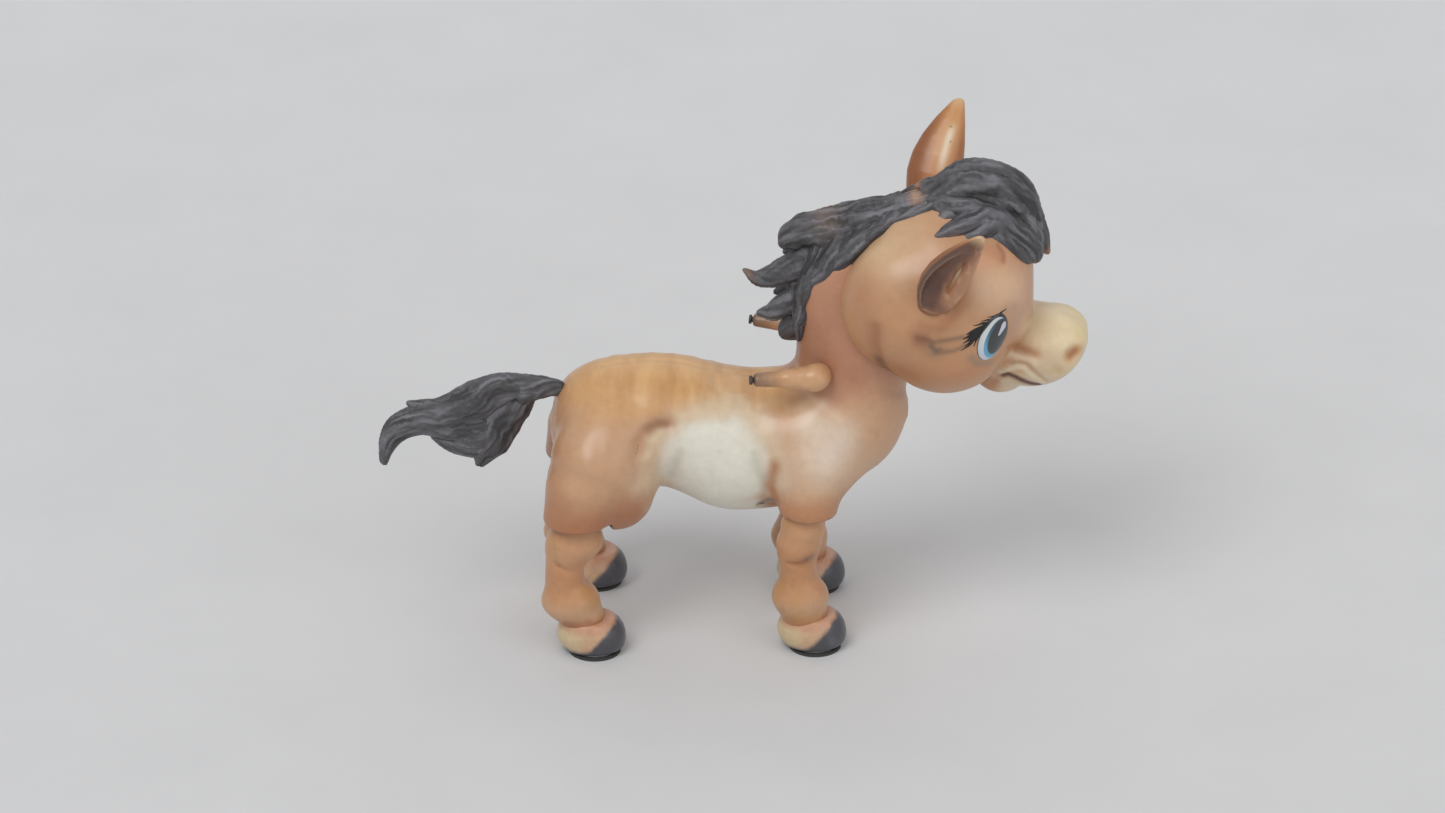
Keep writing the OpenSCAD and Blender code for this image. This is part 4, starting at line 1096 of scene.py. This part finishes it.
def painted(name, rough=0.36, coat=0.25, bump=0.12, scale=60.0, fine=420.0, wear=0.08, spec=0.5, strand=0.0):
    """Airbrushed gloss paint over moulded glass fibre: the point colours, broken up by noise."""
    m = bpy.data.materials.new(name)
    t, b = nt(m)
    N = t.nodes
    at = N.new("ShaderNodeAttribute")
    at.attribute_name = "paint"
    tc = N.new("ShaderNodeTexCoord")
    n1 = N.new("ShaderNodeTexNoise")
    n1.inputs["Scale"].default_value = scale
    n1.inputs["Detail"].default_value = 6
    n1.inputs["Roughness"].default_value = 0.62
    t.links.new(tc.outputs["Object"], n1.inputs["Vector"])
    n2 = N.new("ShaderNodeTexNoise")
    n2.inputs["Scale"].default_value = fine
    n2.inputs["Detail"].default_value = 4
    t.links.new(tc.outputs["Object"], n2.inputs["Vector"])
    mr = N.new("ShaderNodeMapRange")
    mr.inputs["From Min"].default_value = 0.3
    mr.inputs["From Max"].default_value = 0.7
    mr.inputs["To Min"].default_value = 1 - wear
    mr.inputs["To Max"].default_value = 1 + wear
    t.links.new(n1.outputs["Fac"], mr.inputs["Value"])
    mul = N.new("ShaderNodeVectorMath")
    mul.operation = "SCALE"
    t.links.new(at.outputs["Color"], mul.inputs[0])
    t.links.new(mr.outputs["Result"], mul.inputs["Scale"])
    col = mul.outputs[0]
    if strand:
        wv = N.new("ShaderNodeTexWave")
        wv.bands_direction = "DIAGONAL"
        wv.inputs["Scale"].default_value = 15
        wv.inputs["Distortion"].default_value = 11
        wv.inputs["Detail"].default_value = 3
        wv.inputs["Detail Scale"].default_value = 0.85
        wv.inputs["Detail Roughness"].default_value = 0.55
        t.links.new(tc.outputs["Object"], wv.inputs["Vector"])
        ms = N.new("ShaderNodeMapRange")
        ms.inputs["To Min"].default_value = 1 - strand
        ms.inputs["To Max"].default_value = 1 + strand
        t.links.new(wv.outputs["Fac"], ms.inputs["Value"])
        m2 = N.new("ShaderNodeVectorMath")
        m2.operation = "SCALE"
        t.links.new(col, m2.inputs[0])
        t.links.new(ms.outputs["Result"], m2.inputs["Scale"])
        col = m2.outputs[0]
    t.links.new(col, b.inputs["Base Color"])
    r = N.new("ShaderNodeMapRange")
    r.inputs["From Min"].default_value = 0.3
    r.inputs["From Max"].default_value = 0.75
    r.inputs["To Min"].default_value = rough - 0.08
    r.inputs["To Max"].default_value = rough + 0.16
    t.links.new(n1.outputs["Fac"], r.inputs["Value"])
    t.links.new(r.outputs["Result"], b.inputs["Roughness"])
    add = N.new("ShaderNodeMath")
    add.operation = "MULTIPLY_ADD"
    add.inputs[1].default_value = 0.35
    t.links.new(n2.outputs["Fac"], add.inputs[0])
    t.links.new(n1.outputs["Fac"], add.inputs[2])
    bp = N.new("ShaderNodeBump")
    bp.inputs["Strength"].default_value = bump
    bp.inputs["Distance"].default_value = 0.002
    h = add.outputs[0]
    if strand:
        a2 = N.new("ShaderNodeMath")
        a2.operation = "MULTIPLY_ADD"
        a2.inputs[1].default_value = 0.3
        t.links.new(wv.outputs["Fac"], a2.inputs[0])
        t.links.new(h, a2.inputs[2])
        h = a2.outputs[0]
    t.links.new(h, bp.inputs["Height"])
    t.links.new(bp.outputs["Normal"], b.inputs["Normal"])
    b.inputs["Coat Weight"].default_value = coat
    b.inputs["Coat Roughness"].default_value = 0.22
    b.inputs["Specular IOR Level"].default_value = spec
    return m


def finish_mat(name, rgb, metal=0.0, rough=0.45, var=0.25, scale=40.0, bump=0.15, alt=None, coat=0.0, stretch=None, edge=None):
    """A finish with mottled colour, patchy roughness, fine bump and, if asked, worn edges."""
    m = bpy.data.materials.new(name)
    t, b = nt(m)
    N = t.nodes
    tc = N.new("ShaderNodeTexCoord")
    src = tc.outputs["Object"]
    if stretch:
        mp = N.new("ShaderNodeMapping")
        mp.inputs["Scale"].default_value = stretch
        t.links.new(src, mp.inputs["Vector"])
        src = mp.outputs[0]
    n1 = N.new("ShaderNodeTexNoise")
    n1.inputs["Scale"].default_value = scale
    n1.inputs["Detail"].default_value = 7
    n1.inputs["Roughness"].default_value = 0.65
    t.links.new(src, n1.inputs["Vector"])
    n2 = N.new("ShaderNodeTexNoise")
    n2.inputs["Scale"].default_value = scale * 9
    n2.inputs["Detail"].default_value = 3
    t.links.new(src, n2.inputs["Vector"])
    cr = N.new("ShaderNodeValToRGB")
    base = lin(rgb)
    dark = base * (1 - var)
    lite = lin(alt) if alt is not None else np.minimum(base * (1 + var), 1)
    e = cr.color_ramp.elements
    e[0].position, e[1].position = 0.32, 0.72
    e[0].color = (*dark, 1)
    e[1].color = (*lite, 1)
    mid = cr.color_ramp.elements.new(0.5)
    mid.color = (*base, 1)
    t.links.new(n1.outputs["Fac"], cr.inputs["Fac"])
    col = cr.outputs["Color"]
    if edge is not None:
        g = N.new("ShaderNodeNewGeometry")
        er = N.new("ShaderNodeMapRange")
        er.inputs["From Min"].default_value = 0.52
        er.inputs["From Max"].default_value = 0.62
        t.links.new(g.outputs["Pointiness"], er.inputs["Value"])
        mm = N.new("ShaderNodeMath")
        mm.operation = "MULTIPLY"
        t.links.new(er.outputs["Result"], mm.inputs[0])
        t.links.new(n2.outputs["Fac"], mm.inputs[1])
        mx = N.new("ShaderNodeMix")
        mx.data_type = "RGBA"
        mx.inputs["B"].default_value = (*lin(edge), 1)
        t.links.new(mm.outputs[0], mx.inputs["Factor"])
        t.links.new(col, mx.inputs["A"])
        col = mx.outputs["Result"]
    t.links.new(col, b.inputs["Base Color"])
    r = N.new("ShaderNodeMapRange")
    r.inputs["From Min"].default_value = 0.3
    r.inputs["From Max"].default_value = 0.7
    r.inputs["To Min"].default_value = max(rough - 0.12, 0.05)
    r.inputs["To Max"].default_value = min(rough + 0.15, 1)
    t.links.new(n1.outputs["Fac"], r.inputs["Value"])
    t.links.new(r.outputs["Result"], b.inputs["Roughness"])
    bp = N.new("ShaderNodeBump")
    bp.inputs["Strength"].default_value = bump
    bp.inputs["Distance"].default_value = 0.001
    t.links.new(n2.outputs["Fac"], bp.inputs["Height"])
    t.links.new(bp.outputs["Normal"], b.inputs["Normal"])
    b.inputs["Metallic"].default_value = metal
    b.inputs["Coat Weight"].default_value = coat
    return m


M_COAT = painted("coat_paint", 0.36, 0.30, 0.07, wear=0.045)
M_HEAD = painted("head_paint", 0.36, 0.30, 0.06, wear=0.04)
M_HAIR = painted("hair_paint", 0.50, 0.06, 0.30, scale=90, fine=600, wear=0.08, strand=0.06)
M_HOOF = painted("hoof_paint", 0.34, 0.25, 0.16, scale=80)
M_EYE = painted("eye_paint", 0.12, 0.9, 0.0, wear=0.02)
M_EYE.node_tree.nodes["Principled BSDF"].inputs["Coat Roughness"].default_value = 0.05

FIN = {
    "frame_steel": finish_mat("m_frame_steel", [46, 50, 54], 0.0, 0.42, 0.3, 30, 0.2, coat=0.2, edge=[120, 116, 110]),
    "zinc_steel": finish_mat("m_zinc_steel", [168, 170, 172], 0.95, 0.38, 0.22, 60, 0.2, alt=[196, 194, 180], edge=[210, 210, 210]),
    "ground_steel": finish_mat("m_ground_steel", [184, 186, 190], 1.0, 0.24, 0.12, 40, 0.15, stretch=(1, 12, 12)),
    "sole_rubber": finish_mat("m_sole_rubber", [38, 38, 39], 0.0, 0.78, 0.3, 70, 0.35, edge=[74, 72, 70]),
    "coat_brown": finish_mat("m_coat_brown", [196, 150, 112], 0.0, 0.36, 0.12, 12, 0.1, alt=[212, 172, 132], coat=0.22, edge=[220, 200, 170]),
    "muzzle_cream": finish_mat("m_muzzle_cream", [222, 200, 156], 0.0, 0.36, 0.12, 14, 0.1, coat=0.22),
    "hoof_black": finish_mat("m_hoof_black", [70, 70, 76], 0.0, 0.36, 0.25, 20, 0.15, coat=0.22),
    "hair_charcoal": finish_mat("m_hair_charcoal", [66, 65, 70], 0.0, 0.45, 0.3, 30, 0.3),
    "eye_paint": finish_mat("m_eye", [220, 228, 232], 0.0, 0.15, 0.05, 20, 0.05, coat=0.8),
    "motor_blue": finish_mat("m_motor_blue", [52, 76, 106], 0.0, 0.42, 0.25, 26, 0.2, coat=0.2, edge=[150, 150, 150]),
    "reducer_grey": finish_mat("m_reducer_grey", [104, 106, 110], 0.1, 0.5, 0.25, 30, 0.4, edge=[160, 160, 160]),
    "pulley_alu": finish_mat("m_pulley_alu", [186, 188, 192], 1.0, 0.34, 0.15, 50, 0.15),
    "rod_iron": finish_mat("m_rod_iron", [96, 62, 44], 0.55, 0.6, 0.35, 40, 0.6, alt=[128, 84, 58], edge=[150, 140, 130]),
    "box_plastic": finish_mat("m_box_plastic", [188, 190, 192], 0.0, 0.55, 0.1, 20, 0.15),
    "board_green": finish_mat("m_board_green", [38, 92, 58], 0.0, 0.4, 0.3, 90, 0.2, alt=[58, 120, 78]),
    "black_plastic": finish_mat("m_black_plastic", [36, 36, 38], 0.0, 0.5, 0.25, 60, 0.25, edge=[90, 90, 90]),
    "grip_brown": finish_mat("m_grip_brown", [150, 112, 78], 0.0, 0.42, 0.25, 26, 0.25, alt=[178, 138, 100], coat=0.15, edge=[70, 52, 40]),
}
SLOT = {s["node"]: s["material_slot"] for s in frame["record"]["subparts"]}
for node, ob in frame["nodes"].items():
    ob.data.materials.clear()
    ob.data.materials.append(FIN["grip_brown"] if node == "grab_bar" else FIN[SLOT[node]])

# ---------------------------------------------------------------- eyes
def unit(v):
    v = np.array(v, float)
    return v / np.linalg.norm(v)


def eye(H, s, n=80):
    """Domed eye laid on the head: outline, white, iris, pupil and highlight painted in its own coordinates."""
    C, top_, bot_, lef_, rig_ = pick(H, [(993.2, 337.6), (1001.5, 313.9), (984.9, 361.3), (980.2, 337.6), (1006.2, 337.6)])
    m = (top_ - bot_) / 2
    t = (rig_ - lef_) / 2
    if s > 0:
        C, m, t = [a * np.array([1, -1, 1]) for a in (C, m, t)]
    rings = max(int(n / Q), 20)
    seg = max(int(2.6 * n / Q), 60)
    th = np.arange(seg) / seg * 2 * math.pi
    rr = np.linspace(0, 1, rings + 1)[1:]
    R, T = np.meshgrid(rr, th, indexing="ij")
    uv = np.stack([np.concatenate([[0], (R * np.sin(T)).ravel()]), np.concatenate([[0], (R * np.cos(T)).ravel()])], 1)
    rad = np.concatenate([[0], R.ravel()])
    P = C + uv[:, :1] * m + uv[:, 1:] * t
    for _ in range(4):
        P = P - H.grad(P) * H.sample(P)[:, None]
    N = H.grad(P)
    nrm = H.grad(C[None])[0]
    top = P + N * (4.6 * np.sqrt(np.clip(1 - rad ** 2.6, 0, 1)) + 0.35)[:, None]
    bot = P - N * 4.0
    nv = len(P)
    tri = []
    idx = 1 + np.arange(rings * seg).reshape(rings, seg)
    a0, a1 = idx[:-1], idx[1:]
    b0, b1 = np.roll(a0, -1, 1), np.roll(a1, -1, 1)
    tri += [np.stack([a0, a1, b1], -1).reshape(-1, 3), np.stack([a0, b1, b0], -1).reshape(-1, 3)]
    tri.append(np.stack([np.zeros(seg, int), idx[0], np.roll(idx[0], -1)], 1))
    tri = np.concatenate(tri)
    e0 = idx[-1]
    e1 = np.roll(e0, -1)
    side = np.concatenate([np.stack([e0, e0 + nv, e1 + nv], 1), np.stack([e0, e1 + nv, e1], 1)])
    F = np.concatenate([tri, side, tri[:, ::-1] + nv])
    V = np.concatenate([top, bot])
    u = np.concatenate([uv, uv])
    r = np.concatenate([rad, rad])
    sy, tx = u[:, 0], u[:, 1]
    X = 347.5 + sy * 122 + tx * 194.5
    Y = 560 - sy * 345
    Z = np.stack([X, Y, 0 * X], 1)
    c = np.tile(lin([214, 220, 218]), (len(V), 1))
    c = mixc(c, [204, 204, 218], sstep(0.0, 0.8, -sy) * 0.8)
    c = mixc(c, [176, 190, 200], sstep(0.72, 0.98, r) * 0.4)
    q = np.sqrt(((sy + 0.014) / 0.835) ** 2 + ((tx - 0.227) / 0.83) ** 2)
    iris = 1 - sstep(0.97, 1.02, q)
    c = mixc(c, [92, 168, 202], iris)
    c = mixc(c, [58, 98, 122], iris * sstep(-0.45, 0.30, sy) * 0.95)
    c = mixc(c, [30, 48, 62], iris * sstep(0.2, 0.7, sy) * 0.8)
    q2 = np.sqrt(((sy - 0.058) / 0.725) ** 2 + ((tx - 0.31) / 0.70) ** 2)
    c = mixc(c, [52, 78, 96], iris * np.exp(-((q2 - 1.0) / 0.07) ** 2) * 0.6)
    c = mixc(c, [31, 37, 42], 1 - sstep(0.95, 1.03, q2))
    # elongated highlight, wider towards its top
    du, dv = X - 405, Y - 518
    ax = np.array([125.0, -198.0]) / 234.2
    al = (du * ax[0] + dv * ax[1]) / 234.2
    pe = np.abs(-du * ax[1] + dv * ax[0] + 4)
    hw = np.interp(al, [0, 0.08, 0.4, 0.7, 0.9, 1.0], [2, 12, 24, 33, 24, 2])
    hl = (1 - sstep(-3, 3, pe - hw)) * sstep(0.0, 0.03, al) * (1 - sstep(0.97, 1.0, al))
    c = mixc(c, [212, 208, 222], hl)
    c = mixc(c, [190, 196, 208], hl * (1 - sstep(0.1, 0.5, al)) * 0.7)
    edge = 0.968 - 0.10 * sstep(0.0, 0.55, sy) - 0.075 * sstep(0.25, 0.8, tx) * sstep(-0.5, 0.1, sy)
    c = mixc(c, [30, 32, 34], sstep(edge - 0.012, edge + 0.012, r))
    return V, F, c


def sweep(H, pts, rad, lift=0.6, n=10, seg=8):
    """Closed tube with a varying radius laid on the head."""
    c = bez(pts, n)
    for _ in range(4):
        c = c - H.grad(c) * H.sample(c)[:, None]
    N = H.grad(c)
    c = c + N * lift
    r = np.interp(np.linspace(0, 1, len(c)), np.linspace(0, 1, len(rad)), rad)
    T = np.gradient(c, axis=0)
    T /= np.linalg.norm(T, axis=1, keepdims=True)
    B = np.cross(T, N)
    th = np.arange(seg) / seg * 2 * math.pi
    V = (c[:, None, :] + B[:, None, :] * (np.cos(th)[None, :, None] * r[:, None, None])
         + N[:, None, :] * (np.sin(th)[None, :, None] * r[:, None, None] * 0.75)).reshape(-1, 3)
    m = len(c)
    idx = np.arange(m * seg).reshape(m, seg)
    a0, a1 = idx[:-1], idx[1:]
    b0, b1 = np.roll(a0, -1, 1), np.roll(a1, -1, 1)
    F = [np.stack([a0, b0, b1], -1).reshape(-1, 3), np.stack([a0, b1, a1], -1).reshape(-1, 3)]
    V = np.concatenate([V, c[:1] - T[:1] * r[0] * 0.4, c[-1:] + T[-1:] * r[-1] * 0.4])
    k = m * seg
    F.append(np.stack([np.full(seg, k), np.roll(idx[0], -1), idx[0]], 1))
    F.append(np.stack([np.full(seg, k + 1), idx[-1], np.roll(idx[-1], -1)], 1))
    return V, np.concatenate(F)


def ribbon(H, pts, rad, n=9):
    """A flat tapering stroke of thick paint lying on the head."""
    c = bez(pts, n)
    for _ in range(3):
        c = c - H.grad(c) * H.sample(c)[:, None]
    N = H.grad(c)
    T = np.gradient(c, axis=0)
    T /= np.linalg.norm(T, axis=1, keepdims=True) + 1e-9
    S = np.cross(N, T)
    w = np.interp(np.linspace(0, 1, len(c)), np.linspace(0, 1, len(rad)), rad)[:, None]
    rows = [c + S * w * a + N * b for a, b in ((1, 0.1), (0.62, 0.95), (0, 1.35), (-0.62, 0.95), (-1, 0.1), (0, -2.5))]
    V = np.stack(rows, 1).reshape(-1, 3)
    k, m = 6, len(c)
    F = []
    for i in range(m - 1):
        for j in range(k):
            a, b = i * k + j, i * k + (j + 1) % k
            F += [(a, b, b + k), (a, b + k, a + k)]
    F += [(0, j + 1, j) for j in range(1, k - 1)]
    e = (m - 1) * k
    F += [(e, e + j, e + j + 1) for j in range(1, k - 1)]
    return V, np.array(F)


LASH = (
    (((150, 392), (205, 364), (262, 300), (336, 236), (411, 180), (460, 142), (518, 98)), (5.0, 8.2, 4.6, 2.9, 2.5, 2.0, 0.4)),
    (((250, 305), (180, 345), (120, 366), (66, 388)), (4.5, 6.0, 3.6, 0.5)),
    (((235, 330), (160, 375), (100, 410), (30, 440)), (5.0, 6.0, 3.4, 0.5)),
    (((225, 345), (160, 400), (95, 450), (34, 486)), (5.0, 5.4, 3.0, 0.5)),
    (((220, 360), (165, 425), (110, 478), (52, 520)), (4.4, 4.6, 2.6, 0.5)),
    (((205, 385), (160, 440), (100, 510), (10, 566)), (3.6, 3.4, 1.8, 0.4)),
    (((210, 400), (186, 440), (170, 480), (150, 520)), (3.0, 2.2, 1.2, 0.3)),
    (((300, 262), (250, 262), (200, 280), (150, 286)), (3.0, 2.4, 1.4, 0.3)),
    (((350, 226), (310, 222), (270, 234), (236, 236)), (2.2, 1.8, 1.0, 0.3)),
    (((400, 188), (366, 184), (336, 192), (306, 190)), (1.8, 1.4, 0.8, 0.3)))


def outward(V, F):
    """Flips the faces if the closed mesh has a negative volume."""
    a, b, c = V[F[:, 0]], V[F[:, 1]], V[F[:, 2]]
    return F if (np.cross(a, b) * c).sum() > 0 else F[:, ::-1]


def outward4(V, F):
    T = np.concatenate([F[:, [0, 1, 2]], F[:, [0, 2, 3]]])
    a, b, c = V[T[:, 0]], V[T[:, 1]], V[T[:, 2]]
    return F if (np.cross(a, b) * c).sum() > 0 else F[:, ::-1]


# ---------------------------------------------------------------- assembly
def skin(name, Fd, painter, mat, keep=1, steps=2, own=True):
    P, F = Fd.mesh(steps)
    P, F = loose(P, F, keep)
    F = outward4(P, F)
    N = Fd.grad(P, 1.5)
    cav = cavity(Fd, P, N, 5.0) if own else None
    c = painter(P, N, cav)
    return make(name, P, F, np.clip(c, 0, 1), mat)


def mirror_points(P):
    P = P.copy()
    P[:, 1] *= -1
    return P


def floor_cap(L, z0):
    G = L.grid()
    L.F = smax(L.F, (z0 - G[2]).astype(f4) + 0 * L.F, 3)


HB = 3.0 * Q
B = body_field(HB)
body_details(B)
body_wells(B, 6.5 if Q == 1 else 11)
body = skin("body_skin", B, lambda P, N, cav: paint_body(B, P, N, cav), M_COAT)
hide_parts("body_shell_left", "body_shell_right")
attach(body, "pony_body")

H = head_field(HB)
head_details(H)
H.close()
head = skin("head_skin", H, lambda P, N, cav: paint_head(H, P, N), M_HEAD)
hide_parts("head_shell", "muzzle")
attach(head, "pony_body")

for s, side in ((1, "left"), (-1, "right")):
    V, F, c = eye(H, s)
    e = make("eye_skin_" + side, V, outward(V, F), c, M_EYE)
    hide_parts("eye_" + side)
    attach(e, "pony_body")
    parts = []
    for pts, rad in LASH:
        q = pick(H, z5(*pts))
        if s > 0:
            q = q * np.array([1, -1, 1])
        parts.append(ribbon(H, q, list(rad)))
    Vs, Fs, o = [], [], 0
    for v, f in parts:
        Vs.append(v)
        Fs.append(outward(v, f) + o)
        o += len(v)
    Vs, Fs = np.concatenate(Vs), np.concatenate(Fs)
    l = make("lashes_" + side, Vs, Fs, np.tile(lin([24, 22, 24]), (len(Vs), 1)), M_HAIR)
    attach(l, "pony_body")

def grip_field(h):
    G = Field([84, 78, 548], [252, 152, 620], h)
    a, e = np.array([215.0, 112, 583]), np.array([96.0, 132, 588])
    u = (e - a) / np.linalg.norm(e - a)
    G.add(cone([222, 98, 580], 26, list(a - 4 * u), 26))
    G.add(cone(list(a + 6 * u), 26, list(a + 50 * u), 18), 8)
    G.add(cone(list(a + 50 * u), 18, list(e - 8 * u), 13.5), 8)
    x, y, z = G.grid()
    end = ((x - e[0]) * u[0] + (y - e[1]) * u[1] + (z - e[2]) * u[2] + 0.2).astype(f4)
    G.F = smax(G.F, end + 0 * G.F, 3)
    G.groove([list(a + 18 * u + [0, 24, 0]), list(a + 14 * u + [0, 0, 26]), list(a + 18 * u - [0, 24, 0])], 6, 2)
    return G


GR = grip_field(2.5)
for s, side in ((1, "left"), (-1, "right")):
    P, F = GR.mesh(2)
    P, F = loose(P, F, 1)
    F = outward4(P, F)
    t = (215 - P[:, 0]) / 119
    n2 = fbm(P, 14, 301)
    c = np.tile(lin([206, 160, 118]), (len(P), 1))
    c = mixc(c, [196, 142, 100], sstep(0.5, 0.7, fbm(P, 30, 303)) * 0.6)
    c = mixc(c, [128, 100, 80], sstep(0.45, 0.95, t + (n2 - 0.5) * 0.2) * 0.85)
    c = mixc(c, [90, 70, 58], sstep(0.93, 1.0, t) * 0.7)
    if s < 0:
        P = mirror_points(P)
        F = F[:, ::-1]
    o = make("grip_skin_" + side, P, F, np.clip(c, 0, 1), M_COAT)
    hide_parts("grip_" + side)
    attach(o, "pony_body")

HH = 2.5 * Q
for nm, Fd, sd in (("mane", mane_field(HH), 3), ("forelock", forelock_field(HH), 5), ("tail", tail_field(HH), 8)):
    Fd.close()
    o = skin(nm + "_skin", Fd, lambda P, N, cav: paint_hair(Fd, P, N, cav, sd), M_HAIR)
    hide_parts(nm)
    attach(o, "pony_body")

for s, side, eb, et, ew in ((1, "left", (444, 190, 788), (503, 304, 989), 1.15), (-1, "right", (444, 192, 776), (533, 300, 976), 1.0)):
    E, fr = ear_field(HH, eb, et, ew)
    P, F = E.mesh(2)
    P, F = loose(P, F, 1)
    F = outward4(P, F)
    N = E.grad(P, 1.5)
    cav = cavity(E, P, N, 5.0)
    c = np.clip(paint_ear(P, N, cav, fr, 1), 0, 1)
    if s < 0:
        P = mirror_points(P)
        F = F[:, ::-1]
    o = make("ear_skin_" + side, P, F, c, M_HEAD)
    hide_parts("ear_" + side)
    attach(o, "pony_body")

KNEE = [[166, 148, 205], [185, 163, 201], [204, 168, 202], [222, 163, 208], [236, 150, 217]]
for nm, fld, z0, front in (("front", front_leg_field, 58, True), ("hind", hind_leg_field, 56, False)):
    L = fld(2.5 * Q)
    if front:
        L.groove(np.array(KNEE, float), 8, 3.5)
    floor_cap(L, z0)
    P0, F0 = L.mesh(2)
    P0, F0 = loose(P0, F0, 1)
    F0 = outward4(P0, F0)
    N0 = L.grad(P0, 1.5)
    cav = cavity(L, P0, N0, 4.0)
    for s, side in ((1, "left"), (-1, "right")):
        P, F, N = P0.copy(), F0, N0.copy()
        if s < 0:
            P[:, 1] *= -1
            N[:, 1] *= -1
            F = F0[:, ::-1]
        c = coat_leg(P, N, cav, front)
        if front:
            q = np.stack([P[:, 0], np.abs(P[:, 1]), P[:, 2]], 1)
            # painted shade along the knee crease, then a dark spot beside it
            for pts, wd, col, a in (
                    (KNEE, 10, [158, 104, 70], 0.6),
                    ([[202, 168, 210], [212, 166, 213]], 10, [92, 72, 64], 0.6)):
                d = dist_line(q, np.array(pts, float))
                c = mixc(c, col, a * np.exp(-(d / wd) ** 2))
        c = np.clip(c, 0, 1)
        o = make(nm + "_" + side + "_leg_skin", P, F, c, M_COAT)
        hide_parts(nm + "_" + side + "_leg_shell")
        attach(o, "chassis")

for nm, cx, cy, lean in (("front", 218, 128, 0), ("hind", -216, 146, 0)):
    L = hoof_field(2.5 * Q, cx, cy, lean)
    P0, F0 = L.mesh(2)
    P0, F0 = loose(P0, F0, 1)
    F0 = outward4(P0, F0)
    N0 = L.grad(P0, 1.5)
    cav = cavity(L, P0, N0, 4.0)
    for s, side in ((1, "left"), (-1, "right")):
        P, F, N = P0.copy(), F0, N0.copy()
        if s < 0:
            P[:, 1] *= -1
            N[:, 1] *= -1
            F = F0[:, ::-1]
        c = np.clip(coat_hoof(P, N, cx, cav), 0, 1)
        o = make(nm + "_" + side + "_hoof_skin", P, F, c, M_HOOF)
        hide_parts(nm + "_" + side + "_hoof")
        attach(o, "chassis")


# ---------------------------------------------------------------- stage
def plain(name, rgb, rough):
    return finish_mat(name, rgb, 0.0, rough, 0.02, 3, 0.02)


me = bpy.data.meshes.new("floor")
g = 14.0
me.from_pydata([(-g, -g, 0), (g, -g, 0), (g, g, 0), (-g, g, 0)], [], [(0, 1, 2, 3)])
flo = bpy.data.objects.new("floor", me)
bpy.context.scene.collection.objects.link(flo)
me.materials.append(plain("m_floor", [214, 214, 214], 0.95))

w = bpy.data.worlds.new("studio")
bpy.context.scene.world = w
w.use_nodes = True
bg = w.node_tree.nodes["Background"]
bg.inputs[0].default_value = (0.80, 0.81, 0.83, 1)
bg.inputs[1].default_value = 0.60


def sun(name, way, power, angle, col=(1, 1, 1)):
    l = bpy.data.lights.new(name, "SUN")
    l.energy = power
    l.angle = math.radians(angle)
    l.color = col
    o = bpy.data.objects.new(name, l)
    o.rotation_euler = Vector(way).to_track_quat("Z", "Y").to_euler()
    bpy.context.scene.collection.objects.link(o)
    return o


sun("key", (-0.42, -0.66, 1.0), 1.15, 34)
sun("fill", (0.9, -0.8, 0.62), 0.42, 50)
sun("rim", (0.15, 0.8, 0.9), 0.30, 50)

cam = bpy.data.cameras.new("camera")
cam.lens = 250
cam.sensor_width = 36
co = bpy.data.objects.new("camera", cam)
co.location = (0.0353, -17.553, 9.407)
co.rotation_euler = (Vector((0.0353, 0, 0.463)) - Vector(co.location)).to_track_quat("-Z", "Y").to_euler()
bpy.context.scene.collection.objects.link(co)
bpy.context.scene.camera = co
bpy.context.scene.view_settings.view_transform = "AgX" if False else "Standard"
